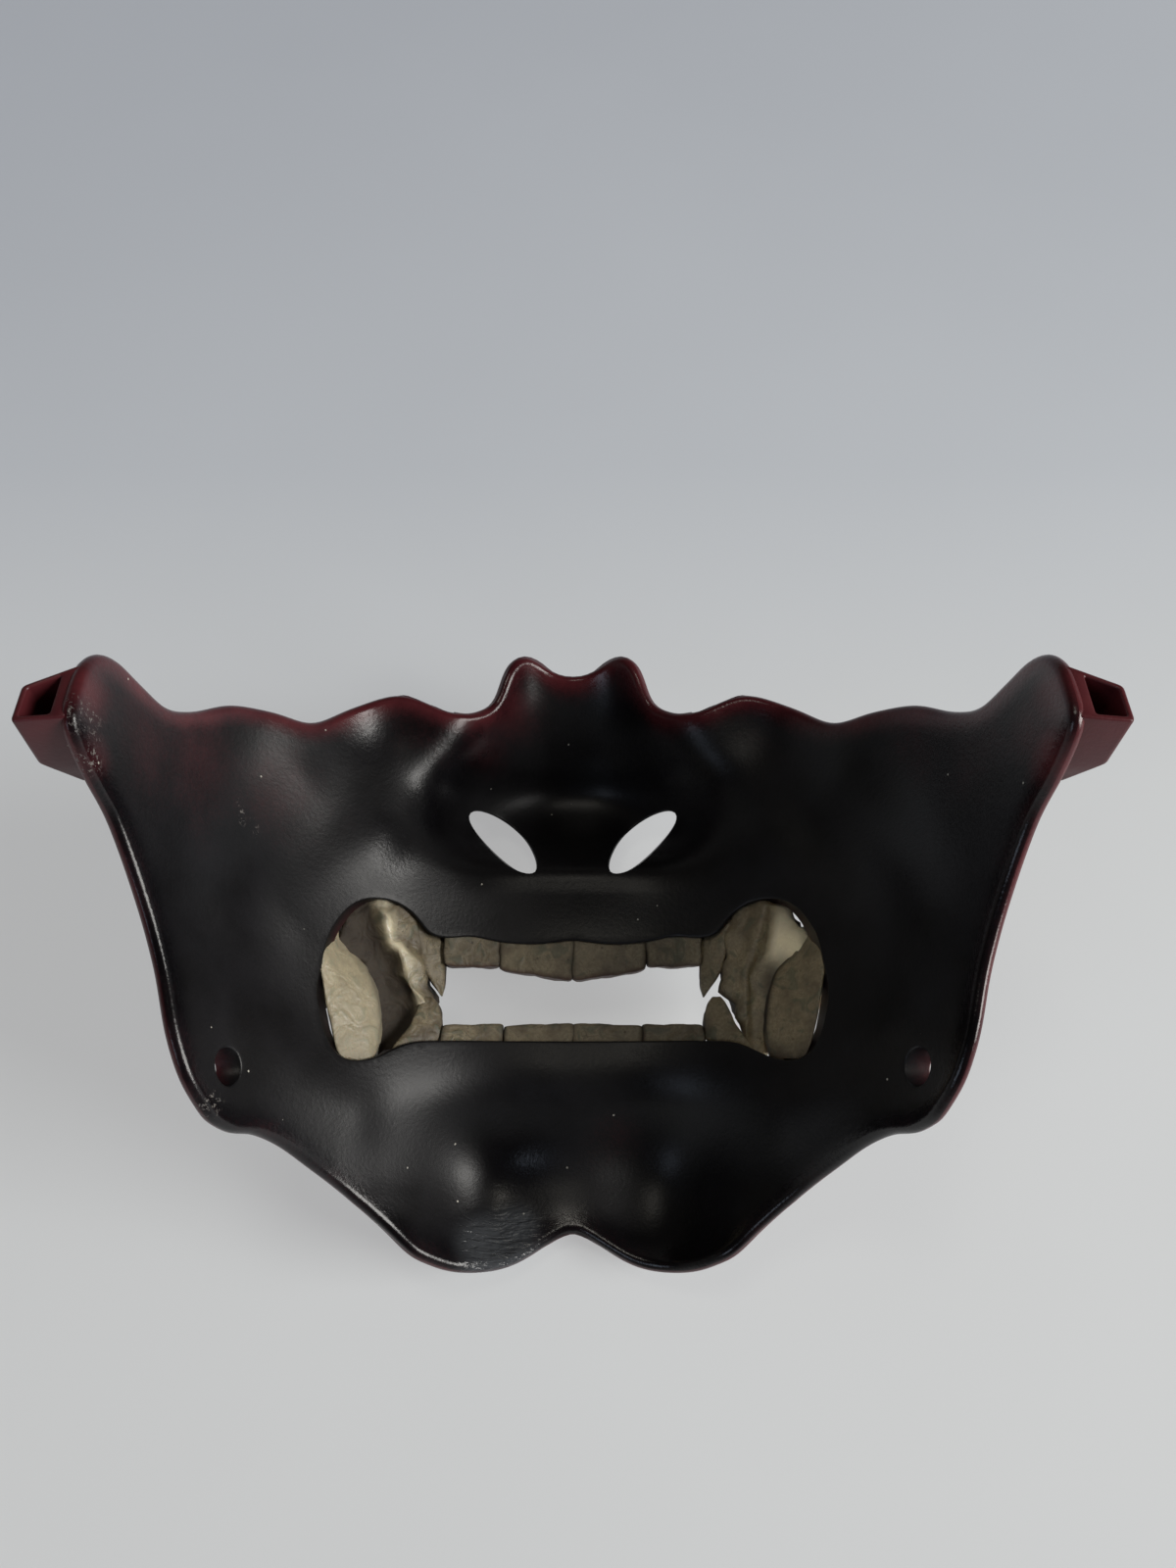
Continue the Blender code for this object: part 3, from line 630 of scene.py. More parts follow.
def rolled_skin(places, rim):
    """The inner skin, rolled outwards in a band along the rim."""
    share = np.clip(1 - edge_distance(places, rim) / RIM_BAND, 0, 1)
    away = outward(skin, *places.T, SMOOTHING)
    return skin(*places.T) + away * (RIM_ROLL * share * share)[:, None]


print("the rim rolls out by", RIM_ROLL / MM, "mm over a band of", RIM_BAND / MM, "mm")

# %% A bead over an edge
BEAD_STEPS = 4
BEAD_PROBE = 0.3 * MM


def into_hole(surface, ring, is_rim):
    """For each point of a ring on a surface, the direction along it off the material."""
    there = ring + into_ring(ring) * (-1 if is_rim else 1) * BEAD_PROBE
    return unit(surface(there[:, 0], there[:, 1]) - surface(ring[:, 0], ring[:, 1]))


def bead(k):
    """Rows of points that close the wall between edge k of the two skins."""
    ring_in, ring_out = inner_rings[k][1], outer_rings[k][1]
    is_rim = inner_rings[k][0] == "rim"
    radius = RIM_RADIUS if is_rim else EDGE_RADIUS
    near, far = rolled_skin(ring_in, inner_rings[0][1]), outer_skin(*ring_out.T)
    off_near, off_far = into_hole(skin, ring_in, is_rim), into_hole(outer_skin, ring_out, is_rim)
    away_near = outward(skin, *ring_in.T, SMOOTHING)
    away_far = outward(outer_skin, *ring_out.T, SMOOTHING)
    turns = [step / BEAD_STEPS * math.pi / 2 for step in range(1, BEAD_STEPS + 1)]
    rows = [near + radius * (off_near * math.sin(turn) + away_near * (1 - math.cos(turn)))
            for turn in turns]
    return rows + [far + radius * (off_far * math.sin(turn) - away_far * (1 - math.cos(turn)))
                   for turn in reversed(turns)]


print("each bead has", len(bead(0)), "rows of points")


# %% Both skins and their beads
def join_skins():
    """Points and faces of the shell, each point's place on the skin, and 0 inside to 1 outside."""
    base, count = len(inner_places), len(inner_places) + len(outer_places)
    points = [rolled_skin(inner_places, inner_rings[0][1]), outer_skin(*outer_places.T)]
    faces = [tuple(t[::-1]) for t in inner_triangles] + [tuple(t + base) for t in outer_triangles]
    outside = [np.zeros(base), np.ones(len(outer_places))]
    places = [inner_places, outer_places]
    for k, (_, ring) in enumerate(inner_rings):
        rows = bead(k)
        names = [inner_loops[k]]
        for row, place in enumerate(rows):
            names.append(list(range(count, count + len(place))))
            count += len(place)
            outside.append(np.full(len(place), (row + 1) / (len(rows) + 1)))
            points.append(place)
            places.append(ring)
        names.append([base + i for i in outer_loops[k]])
        for near, far in zip(names, names[1:]):
            for i in range(len(ring)):
                j = (i + 1) % len(ring)
                faces.append((near[i], near[j], far[j], far[i]))
    return np.vstack(points), faces, np.vstack(places), np.concatenate(outside)


shell_points, shell_faces, shell_places, shell_outside = join_skins()
print("the shell has", len(shell_points), "points and", len(shell_faces), "faces")

# %% [markdown]
# So far the mask was built as worn, which keeps left and right and up easy to think about.
# The solids lie face down, so every point is turned about the X axis and shifted at the end.

# %% Lying face down
LAY_TURN = math.radians(-78.849)
LAY_SHIFT = np.array([0.0, -11.94, 17.16]) * MM


def lie_down(points):
    """From the face as worn to the mask lying face down."""
    turn = np.array(Matrix.Rotation(LAY_TURN, 3, "X"))
    return points @ turn.T + LAY_SHIFT


print("the nose's tip lies at", (lie_down(tip[None])[0] / MM).round(1), "mm")


# %% The body's mesh
def make_shell():
    """The shell as one closed mesh with its faces turned outwards."""
    mesh = bpy.data.meshes.new("mask_body")
    mesh.from_pydata(lie_down(shell_points).tolist(), [],
                     [[int(i) for i in face] for face in shell_faces])
    mesh.update()
    work = bmesh.new()
    work.from_mesh(mesh)
    bmesh.ops.recalc_face_normals(work, faces=work.faces)
    if work.calc_volume(signed=True) < 0:
        bmesh.ops.reverse_faces(work, faces=work.faces)
    work.to_mesh(mesh)
    work.free()
    mesh.shade_smooth()
    return mesh


shell_mesh = make_shell()
print("the mask's body has", len(shell_mesh.polygons), "faces")

# %% [markdown]
# ## Where the red paint went
#
# The front was sprayed dark red, and the mist crept round the rim onto the black inside. We
# note for each point how much mist it caught: a lot along the top of the rim, less a few
# millimetres in, and soft clouds where the can was held over the edge. Masks could be painted
# by hand in Blender, but notes worked out from distances stay right when a size changes.

# %% Notes on a mesh
def note(mesh, name, values):
    """Keep one number for each point of a mesh, for its material to read."""
    layer = mesh.attributes.new(name, "FLOAT", "POINT")
    layer.data.foreach_set("value", np.asarray(values, np.float32))


out_mm, up_mm = (shell_places / MM).T
to_rim = edge_distance(shell_places, inner_rings[0][1]) / MM
print("no point is further from the rim than", round(float(to_rim.max())), "mm")

# %% The mist along the rim
MIST_REACH = 3.8
MIST_FADE = 1.3
MIST_LEAST, MIST_AT_TOP, TOP_BAND = 0.18, 0.66, 14
top_share = curve(TOP_EDGE, 1, np.clip(np.abs(out_mm) * MM / HALF_ARC, 0, 1)) * FACE_HEIGHT / MM
near_top = np.clip(1 - (top_share - up_mm) / TOP_BAND, 0, 1)
mist = (MIST_LEAST + MIST_AT_TOP * near_top) * np.exp(-(to_rim / MIST_REACH) ** MIST_FADE)
print("on the top rim the mist reaches", round(float(mist.max()), 2))

# %% The clouds of mist
# Clouds inside: place round and up in mm, spread in mm, strength.
CLOUDS = [
    (-88, 44, 18, 0.34), (-66, 42, 16, 0.30), (-106, 42, 16, 0.34), (-12, 66, 8, 0.55),
    (-17, 56, 7, 0.40), (98, 40, 14, 0.26), (80, 46, 14, 0.22), (114, 40, 8, 0.45),
    (8, 76, 5, 0.60), (-30, 62, 12, 0.30), (40, 62, 14, 0.22), (10, -30, 9, 0.20),
    (120, 44, 7, 0.75), (118, 34, 6, 0.70), (115, 24, 5, 0.55), (-121, 44, 7, 0.70),
    (-118, 34, 5, 0.50), (14, 72, 5, 0.75),
]
OUTSIDE_FROM, OUTSIDE_OVER = 0.40, 0.35
for out, up, spread, strength in CLOUDS:
    gap = np.hypot(out_mm - out, up_mm - up) / spread
    mist = np.maximum(mist, strength * bell(gap))
outer_share = np.clip((shell_outside - OUTSIDE_FROM) / OUTSIDE_OVER, 0, 1)
mist = mist + (1 - mist) * outer_share
note(shell_mesh, "mist", mist)
print("red mist covers", round(100 * float(np.mean(mist[shell_outside == 0] > 0.4))), "% inside")

# %% [markdown]
# ## Wear on the shell
#
# A tool slipped in the chin's left lobe while the casting was still soft, and the grey in its
# marks is partly scuffed paint and partly a painted reflection. Paint chipped off the left ear
# tab and the left corner of the jaw, two fine scratches run over the left cheek, and handling
# polished the rim. In some places the black was laid on thicker and dried glossier. Each is a
# patch in a table, and fades at its edge.

# %% Chips, tool marks and glossy patches
# Place round and up in mm, spread round and up in mm.
TOOL_MARKS = [(-17.5, -46.5, 9.5, 4.5), (-13, -44.5, 5.5, 3.5)]
CHIPS = [(-121, 39, 3.0, 2.5), (-119, 33, 1.6, 4.0), (-95, -21, 2.0, 1.6),
         (-77, 34, 0.4, 3.0), (-74, 31, 0.4, 2.2)]
SHINE = [
    (-48, 56, 13, 8), (-34, 60, 13, 7), (-21, 58, 8, 7), (-25, 50, 6, 8), (-31, 42, 6, 8),
    (-39, 32, 7, 7), (-12, -32, 8, 8), (-20, -47, 10, 6),
]


def patch(marks):
    """How strongly each point of the body lies in one of the marked patches."""
    found = np.zeros(len(out_mm))
    for out, up, spread_out, spread_up in marks:
        gap = np.hypot((out_mm - out) / spread_out, (up_mm - up) / spread_up)
        found = np.maximum(found, np.exp(-gap ** 4))
    return found


note(shell_mesh, "tool_marks_and_sheen", patch(TOOL_MARKS))
note(shell_mesh, "chipped", patch(CHIPS))
RUBBED_BAND, INNER_SIDE, SHINE_STRENGTH = 2.6, 0.7, 0.8
rubbed_rim = bell(to_rim / RUBBED_BAND) * (shell_outside < INNER_SIDE)
note(shell_mesh, "rubbed", np.maximum(rubbed_rim, SHINE_STRENGTH * patch(SHINE)))
print("marked", len(TOOL_MARKS + CHIPS + SHINE), "patches")

# %% [markdown]
# ## Colours, and one function for nodes
#
# Colours are picked as they look on a screen and turned into the linear light that the
# renderer works in. One small function adds a node with its settings, its links and its
# colour stops, so each recipe below reads as a list of steps. Every pattern takes its Scale
# from a real size: 1 divided by the width of its cells.

# %% From screen colours to light
def paint(hex_code):
    """A screen colour as linear light."""
    values = [int(hex_code[i:i + 2], 16) / 255 for i in (1, 3, 5)]
    return tuple(v / 12.92 if v <= 0.04045 else ((v + 0.055) / 1.055) ** 2.4
                 for v in values) + (1.0,)


print("maroon in linear light is", [round(v, 3) for v in paint("#471a20")])


# %% One function for every node
def add(tree, kind, inputs=(), stops=(), **settings):
    """A node with its settings, its inputs and its colour stops.

    The inputs are a list in the node's own order, or a dict by name or number. Each is a
    number, a colour's hex code, another node's output, or a whole node, which stands for the
    first of its outputs in use.
    """
    made = tree.nodes.new("ShaderNode" + kind)
    for name, value in settings.items():
        setattr(made, name, value)
    for name, value in inputs.items() if isinstance(inputs, dict) else enumerate(inputs):
        if isinstance(value, bpy.types.Node):
            value = next(socket for socket in value.outputs if socket.enabled)
        if isinstance(value, bpy.types.NodeSocket):
            tree.links.new(value, made.inputs[name])
        else:
            made.inputs[name].default_value = paint(value) if isinstance(value, str) else value
    if stops:
        line = made.color_ramp.elements
        while len(line) < len(stops):
            line.new(0.5)
        for element, (place, colour) in zip(line, stops):
            element.position, element.color = place, paint(colour)
    return made


MULTIPLY, PLUS, TIMES_PLUS = ({"operation": kind} for kind in ("MULTIPLY", "ADD", "MULTIPLY_ADD"))
SOFT = {"interpolation_type": "SMOOTHSTEP"}
COLOURS = {"data_type": "RGBA"}
print("the settings used most:", MULTIPLY, PLUS, TIMES_PLUS, SOFT, COLOURS)


# %% An empty material
def new_material(name):
    """A material with an empty node tree, and the point on the object that it starts from."""
    material = bpy.data.materials.new(name)
    material.use_nodes = True
    material.node_tree.nodes.clear()
    return material, material.node_tree


resin_lacquer, tree = new_material("sprayed_satin_lacquer_on_cast_resin")
print("started", resin_lacquer.name)

# %% [markdown]
# ## The shell: cast resin under sprayed satin lacquer
#
# The real shell is polyurethane resin, cast in a rubber mould. The inside was sprayed with
# satin black lacquer and the front with deep maroon. A sprayed coat dries with a skin of fine
# ripples, called orange peel, that breaks every highlight into specks. Where mist settled, it
# is a dust of dots, so the edge between the two colours is grainy and never a line.

# %% What the lacquer reads
SPRAY_DOT = 0.909 * MM  # real droplets are near 0.1 mm, too fine to show, so drawn coarser
COAT_CLOUD = 13.33 * MM  # how far apart a hand-held can lays its thick and thin places
here = add(tree, "TexCoord").outputs["Object"]
mist_note, tool_marks_and_sheen, chipped, rubbed = (
    add(tree, "Attribute", attribute_name=name).outputs["Fac"]
    for name in ("mist", "tool_marks_and_sheen", "chipped", "rubbed"))
dots = add(tree, "TexNoise",
           {"Vector": here, "Scale": 1 / SPRAY_DOT, "Detail": 3, "Roughness": 0.7})
clouds = add(tree, "TexNoise",
             {"Vector": here, "Scale": 1 / COAT_CLOUD, "Detail": 4, "Roughness": 0.55})
print("spray dots at Scale", round(dots.inputs["Scale"].default_value), "per metre")

# %% Black, maroon, and the grainy edge between them
grain = add(tree, "Math", [dots, 0.30, -0.15], **TIMES_PLUS)
drift = add(tree, "Math", [clouds, 0.30, -0.15], **TIMES_PLUS)
speckled = add(tree, "Math", [mist_note, grain], **PLUS)
wet = add(tree, "Math", [speckled, drift], **PLUS)
cover = add(tree, "MapRange", [wet, 0.10, 1.0], **SOFT)
black = add(tree, "ValToRGB", [clouds], [(0.35, "#0a090b"), (0.65, "#121114")])
maroon = add(tree, "ValToRGB", [clouds], [(0.3, "#471a20"), (0.7, "#5a2529")])
coat = add(tree, "Mix", {0: cover, 6: black, 7: maroon}, **COLOURS)
print("mixed black and maroon")

# %% Pale dust stuck in the black
DUST_CELL = 4.76 * MM  # a speck of dust, half a millimetre wide, in about every fourth cell
specks = add(tree, "TexVoronoi", {"Vector": here, "Scale": 1 / DUST_CELL, "Randomness": 1.0})
small = add(tree, "MapRange", [specks, 0.035, 0.055, 1.0, 0.0], **SOFT)
pick = add(tree, "SeparateColor", [specks.outputs["Color"]])
few = add(tree, "MapRange", [pick, 0.74, 0.76], **SOFT)
dust = add(tree, "Math", [small, few], **MULTIPLY)
dusty = add(tree, "Math", [dust, 0.8], **MULTIPLY)
coat = add(tree, "Mix", {0: dusty, 6: coat, 7: "#c4c0b6"}, **COLOURS)
print("a speck of dust is", round(2 * 0.055 * DUST_CELL / MM, 2), "mm wide")

# %% Bare resin in the chips; grey in the tool marks, partly scuffed paint and partly painted reflection
flakes = add(tree, "MapRange", [dots, 0.56, 0.62], **SOFT)
bare = add(tree, "Math", [chipped, flakes], **MULTIPLY)
bare_share = add(tree, "Math", [bare, 0.8], **MULTIPLY)
coat = add(tree, "Mix", {0: bare_share, 6: coat, 7: "#7b7773"}, **COLOURS)
# The grey in the tool marks is partly scuffed paint and partly a painted reflection.
scuff_and_sheen = add(tree, "Math", [tool_marks_and_sheen, 0.65], **MULTIPLY)
coat = add(tree, "Mix", {0: scuff_and_sheen, 6: coat, 7: "#55585c"}, **COLOURS)
print("laid bare resin and scuffs over the coat")

# %% [markdown]
# Satin lacquer has a roughness near 0.4. Here the clouds of the coat move it up and down a
# little, the rubbed rims and thick places are glossier, and bare resin is duller. Its IOR is
# near 1.5 on its own. 1.42 matches the faint highlights of this one, which was flattened.

# %% How the lacquer shines
rough = add(tree, "Math", [clouds, 0.16, 0.35], **TIMES_PLUS)
rough = add(tree, "Math", [rubbed, -0.22, rough], **TIMES_PLUS)
rough = add(tree, "Math", [bare, 0.25, rough], **TIMES_PLUS)
LACQUER_IOR = 1.42
print("the lacquer's roughness is 0.35 to 0.51, and 0.22 less where it is rubbed")

# %% Orange peel, gouges and chips as relief
PEEL = 0.87 * MM  # the ripples of a sprayed coat
GOUGE = 1.11 * MM  # the width of the tool's tip
PEEL_RISE, GOUGE_DEPTH, COAT_RISE, CHIP_DEPTH = 0.12 * MM, 0.8 * MM, 0.8 * MM, 0.2 * MM
peel = add(tree, "TexNoise", {"Vector": here, "Scale": 1 / PEEL, "Detail": 3, "Roughness": 0.65})
swipes = add(tree, "Mapping", {"Vector": here, "Rotation": (0.0, 0.0, 0.5),
                               "Scale": (0.22, 1.0, 1.0)})
gouges = add(tree, "TexNoise", {"Vector": swipes, "Scale": 1 / GOUGE, "Detail": 2,
                                "Roughness": 0.5, "Distortion": 0.8})
cut = add(tree, "Math", [gouges, tool_marks_and_sheen], **MULTIPLY)
soft = add(tree, "Bump", {"Height": clouds, "Strength": 0.10, "Distance": COAT_RISE})
fine = add(tree, "Bump", {"Height": peel, "Normal": soft, "Strength": 0.45,
                          "Distance": PEEL_RISE})
marks = add(tree, "Bump", {"Height": cut, "Normal": fine, "Strength": 0.9,
                           "Distance": GOUGE_DEPTH})
chips = add(tree, "Bump", {"Height": bare, "Normal": marks, "Strength": 0.6,
                           "Distance": CHIP_DEPTH}, invert=True)
print("the peel's ripples are", round(PEEL / MM, 2), "mm wide")

# %% The finished lacquer
lacquer = add(tree, "BsdfPrincipled", {"Base Color": coat, "Roughness": rough, "Normal": chips,
                                       "IOR": LACQUER_IOR})
add(tree, "OutputMaterial", {"Surface": lacquer})
print("the lacquer has", len(tree.nodes), "nodes")


# %% The body takes its place
def add_piece(name, mesh, node, material):
    """Put a mesh into the scene as the piece that stands for one solid."""
    piece = bpy.data.objects.new(name, mesh)
    bpy.context.scene.collection.objects.link(piece)
    mesh.materials.append(material)
    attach(piece, "root")
    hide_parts(node)
    return piece


body = add_piece("mask_body", shell_mesh, "mask_shell", resin_lacquer)
print("the body is", [round(side / MM) for side in body.dimensions], "mm")

# %% [markdown]
# ## The teeth: cast resin painted as weathered bone
#
# The teeth were painted with acrylics, in layers as a model painter does it: a dull ivory
# ground, a stippled green, fine wavy strokes and pinholes where bubbles sat in the casting.
# Dark brown is painted in as shade in the hollows and on sides that lie in shadow, and pale
# ivory as painted light. A thin varnish leaves them between satin and matte. The tips of the
# front teeth caught some of the dark red.

# %% The ground coat of ivory
STIPPLE = 5.88 * MM  # the dabs of a wide brush
BRISTLE = 0.667 * MM  # real bristle marks are near 0.2 mm, drawn coarser so that they show
STROKE = 3.85 * MM  # the wavy strokes of a liner brush
bone_acrylic, tree = new_material("varnished_acrylic_bone_paint_on_resin")
here = add(tree, "TexCoord").outputs["Object"]
broad = add(tree, "TexNoise",
            {"Vector": here, "Scale": 1 / STIPPLE, "Detail": 5, "Roughness": 0.6})
bristles = add(tree, "TexNoise",
               {"Vector": here, "Scale": 1 / BRISTLE, "Detail": 3, "Roughness": 0.7})
swirl = add(tree, "TexNoise",
            {"Vector": here, "Scale": 1 / STROKE, "Detail": 1, "Distortion": 1.6})
bone = add(tree, "ValToRGB", [broad], [
    (0.30, "#5f5545"), (0.45, "#81765f"), (0.57, "#978b70"), (0.72, "#777059")])
print("the ground coat is dabbed in spots of", round(STIPPLE / MM, 1), "mm")

# %% Green, and brown between the bristles
green = add(tree, "MapRange", [swirl, 0.55, 0.68], **SOFT)
green_share = add(tree, "Math", [green, 0.60], **MULTIPLY)
bone = add(tree, "Mix", {0: green_share, 6: bone, 7: "#575f4d"}, **COLOURS)
brown = add(tree, "MapRange", [bristles, 0.40, 0.62, 1.0, 0.0], **SOFT)
brown_share = add(tree, "Math", [brown, 0.30], **MULTIPLY)
bone = add(tree, "Mix", {0: brown_share, 6: bone, 7: "#57493a"}, **COLOURS)
print("glazed the bone with green and brown")

# %% Wavy strokes
from_middle = add(tree, "Math", [swirl, 0.5], operation="SUBTRACT")
off_line = add(tree, "Math", [from_middle], operation="ABSOLUTE")
thin = add(tree, "MapRange", [off_line, 0.004, 0.014, 1.0, 0.0], **SOFT)
here_and_there = add(tree, "MapRange", [broad, 0.48, 0.55], **SOFT)
line = add(tree, "Math", [thin, here_and_there], **MULTIPLY)
line_share = add(tree, "Math", [line, 0.55], **MULTIPLY)
bone = add(tree, "Mix", {0: line_share, 6: bone, 7: "#4c4636"}, **COLOURS)
print("drew the wavy strokes")

# %% Pinholes
PIT_CELL = 2.63 * MM  # a pinhole, half a millimetre wide, in about every sixth cell
pits = add(tree, "TexVoronoi", {"Vector": here, "Scale": 1 / PIT_CELL, "Randomness": 1.0})
hole = add(tree, "MapRange", [pits, 0.06, 0.17, 1.0, 0.0], **SOFT)
pick = add(tree, "SeparateColor", [pits.outputs["Color"]]).outputs["Green"]
few = add(tree, "MapRange", [pick, 0.80, 0.86], **SOFT)
hole = add(tree, "Math", [hole, few], **MULTIPLY)
hole_share = add(tree, "Math", [hole, 0.7], **MULTIPLY)
bone = add(tree, "Mix", {0: hole_share, 6: bone, 7: "#33291f"}, **COLOURS)
print("pinholes are up to", round(2 * 0.17 * PIT_CELL / MM, 1), "mm wide")

# %% Painted shade, red stains and painted highlights
painted_shade, stain, painted_light = (add(tree, "Attribute", attribute_name=name).outputs["Fac"]
                      for name in ("painted_shade", "stain", "painted_light"))
dab = add(tree, "MapRange", [broad, 0.2, 0.6, 0.75, 1.0], **SOFT)
patchy = add(tree, "Math", [painted_shade, dab], **MULTIPLY)
# Painted shade: dark brown where the teeth note shade, broken up by the dabs.
bone = add(tree, "Mix", {0: patchy, 6: bone, 7: "#241911"}, **COLOURS)
bone = add(tree, "Mix", {0: stain, 6: bone, 7: "#3f1c19"}, **COLOURS)
# Painted light: pale ivory where the teeth note it, for highlights and lit places.
bone = add(tree, "Mix", {0: painted_light, 6: bone, 7: "#ece1c2"}, **COLOURS)
print("painted grime, stains and worn ridges where the teeth note them")

# %% [markdown]
# Varnished acrylic has an IOR near 1.5 and a roughness from 0.3 to 0.6. Where shade is painted
# it is duller, and where highlights are painted it is glossier. A trace of light goes into the
# ivory paint.

# %% The finished bone
rough = add(tree, "Math", [bristles, 0.25, 0.32], **TIMES_PLUS)
rough = add(tree, "Math", [painted_shade, 0.30, rough], **TIMES_PLUS)
rough = add(tree, "Math", [painted_light, -0.22, rough], **TIMES_PLUS)
low = add(tree, "Math", [hole, -0.6, bristles], **TIMES_PLUS)
low = add(tree, "Math", [line, -0.5, low], **TIMES_PLUS)
STROKE_RISE, BRISTLE_RISE, GLOW_DEPTH = 0.5 * MM, 0.12 * MM, 1.0 * MM
wide = add(tree, "Bump", {"Height": swirl, "Strength": 0.7, "Distance": STROKE_RISE})
bump = add(tree, "Bump", {"Height": low, "Normal": wide, "Strength": 0.5,
                          "Distance": BRISTLE_RISE})
varnish = add(tree, "BsdfPrincipled", {
    "Base Color": bone, "Roughness": rough, "Normal": bump, "IOR": 1.5,
    "Subsurface Weight": 0.05, "Subsurface Scale": GLOW_DEPTH})
add(tree, "OutputMaterial", {"Surface": varnish})
print("the bone paint has", len(tree.nodes), "nodes")

# %% [markdown]
# ## Shaping the teeth
#
# Every tooth was cast from a hand-carved master, so none has a straight line. Each is a block
# with rounded edges that we stretch between the line of the mouth and the tooth's own tip. The
# rows of the table say how wide, how far forward and how thick the tooth is on its way to the
# tip. Sculpting each one would take long and couldn't follow a change of the mouth.

# %% The table of teeth
# Upper or lower, inner and outer height of the tip, then rows from the root to the tip: share
# of the way, inner side, outer side, set forward, thickness.
TEETH = {
    "upper_incisor": (True, 0.20, 0.32, [
        (0.00, 0.000, 0.318, 0.00, 1.00), (1.00, 0.000, 0.312, 0.05, 0.75)]),
    "upper_lateral": (True, 0.35, 0.34, [
        (0.00, 0.318, 0.552, 0.00, 1.00), (1.00, 0.322, 0.545, 0.05, 0.75)]),
    "upper_fang": (True, 0.03, 0.03, [
        (0.00, 0.545, 0.690, 0.15, 1.00), (0.55, 0.548, 0.645, 0.25, 0.85),
        (0.85, 0.548, 0.588, 0.30, 0.60), (1.00, 0.556, 0.560, 0.35, 0.30)]),
    "upper_tusk": (True, -0.60, -0.60, [
        (0.00, 0.645, 1.020, 0.00, 1.25), (0.30, 0.636, 1.000, 0.15, 1.40),
        (0.55, 0.630, 0.920, 0.35, 1.40), (0.78, 0.662, 0.870, 0.60, 1.20),
        (1.00, 0.715, 0.850, 0.80, 0.70)]),
    "lower_incisor": (False, -0.24, -0.27, [
        (0.00, 0.000, 0.295, 0.00, 1.00), (1.00, 0.000, 0.290, 0.05, 0.75)]),
    "lower_lateral": (False, -0.25, -0.27, [
        (0.00, 0.295, 0.552, 0.00, 1.00), (1.00, 0.300, 0.545, 0.05, 0.75)]),
    "lower_canine": (False, 0.02, 0.02, [
        (0.00, 0.552, 0.765, 0.00, 1.00), (0.35, 0.554, 0.690, 0.10, 1.00),
        (0.80, 0.565, 0.650, 0.20, 0.70), (1.00, 0.585, 0.630, 0.25, 0.45)]),
    "lower_tusk": (False, 1.25, 1.25, [
        (0.00, 0.780, 0.940, 0.00, 1.25), (0.25, 0.794, 1.030, 0.00, 1.40),
        (0.43, 0.828, 1.035, 0.10, 1.45), (0.52, 0.866, 1.038, 0.40, 1.35),
        (0.60, 0.945, 1.045, 0.85, 1.20), (0.80, 0.985, 1.080, 1.50, 1.00),
        (0.92, 0.992, 1.075, 1.95, 0.75), (1.00, 1.000, 1.030, 2.25, 0.45)]),
}
print("the table has", len(TEETH), "teeth for each side")


# %% A rounded block
def rounded_block(cuts, roundness):
    """A divided cube with round edges, and the place of each corner from 0 to 1."""
    block = bmesh.new()
    bmesh.ops.create_cube(block, size=2.0)
    bmesh.ops.subdivide_edges(block, edges=block.edges, cuts=cuts, use_grid_fill=True)
    places = np.array([vertex.co[:] for vertex in block.verts])
    core = np.clip(places, roundness - 1, 1 - roundness)
    rest = places - core
    longest = np.abs(rest).max(axis=1, keepdims=True)
    return block, (core + unit(rest) * longest + 1) / 2


print("a block with 2 cuts has", len(rounded_block(2, 0.5)[1]), "corners")


# %% Where the mouth and the skin are
def corner_out(height):
    """How far out the mouth reaches at each height."""
    outs = np.linspace(0.8, 1.0, 160) * MOUTH_HALF_WIDTH
    up, low = upper_line(outs)[None, :], lower_line(outs)[None, :]
    inside = (height[:, None] <= up) & (height[:, None] >= low)
    return np.where(inside, outs[None, :], 0.8 * MOUTH_HALF_WIDTH).max(axis=1)


def skin_depth(out, up):
    """How far forward the inner skin lies behind each place of the mouth."""
    ring = np.stack([out, up], -1)
    start = first_guess(np.stack([out, 0 * out, up], -1))
    place = lay_on(skin, ring, FROM_BEHIND, start)
    return skin(*place.T)[:, 1]


lip = skin_depth(np.array([0.0]), upper_line(np.array([0.0])))[0]
print("the skin at the upper lip is", round(lip / MM, 1), "mm forward of the mouth's middle")

# %% The outline of a tooth, seen from behind
TOOTH_OVERLAP = 0.30 * MM
ROOT_DEPTH = 1.0 * MM
# The carver's hand: a bulge and a blunt tip on the left upper tusk, a slit beside the right one.
KNOB = 2.4 * MM
BLUNT = 0.8 * MM
SLIT = 1.4 * MM


def tooth_outline(name, side, across, down):
    """How far out and how far up each place of a tooth lies."""
    upper, inner_tip, outer_tip, rows = TEETH[name]
    inner = curve(rows, 1, down) * MOUTH_HALF_WIDTH - TOOTH_OVERLAP / 2
    outer = curve(rows, 2, down) * MOUTH_HALF_WIDTH + TOOTH_OVERLAP / 2
    tip = (inner_tip + across * (outer_tip - inner_tip)) * MOUTH_RISE
    if name == "upper_tusk" and side < 0:
        inner -= KNOB * np.sin(math.pi * np.clip((down - 0.25) / 0.75, 0, 1)) ** 2
        tip += BLUNT
    elif name == "upper_tusk":
        inner += SLIT * np.clip((down - 0.35) / 0.30, 0, 1)
    out = inner + across * (outer - inner)
    root = (upper_line(out) + ROOT_DEPTH) if upper else (lower_line(out) - ROOT_DEPTH)
    return out, root * (1 - down) + tip * down


print("neighbouring teeth run", TOOTH_OVERLAP / MM, "mm into each other, as cast in one row")

# %% How far forward a tooth stands
TOOTH_RECESS = 0.8 * MM
TOOTH_THICKNESS = 6.0 * MM
FLANK = 4.6 * MM
RIDGE = 1.2 * MM


def crest_line(down):
    """Where the ridge of an upper tusk runs, as a share of the way across."""
    return 0.49 - 0.48 * down


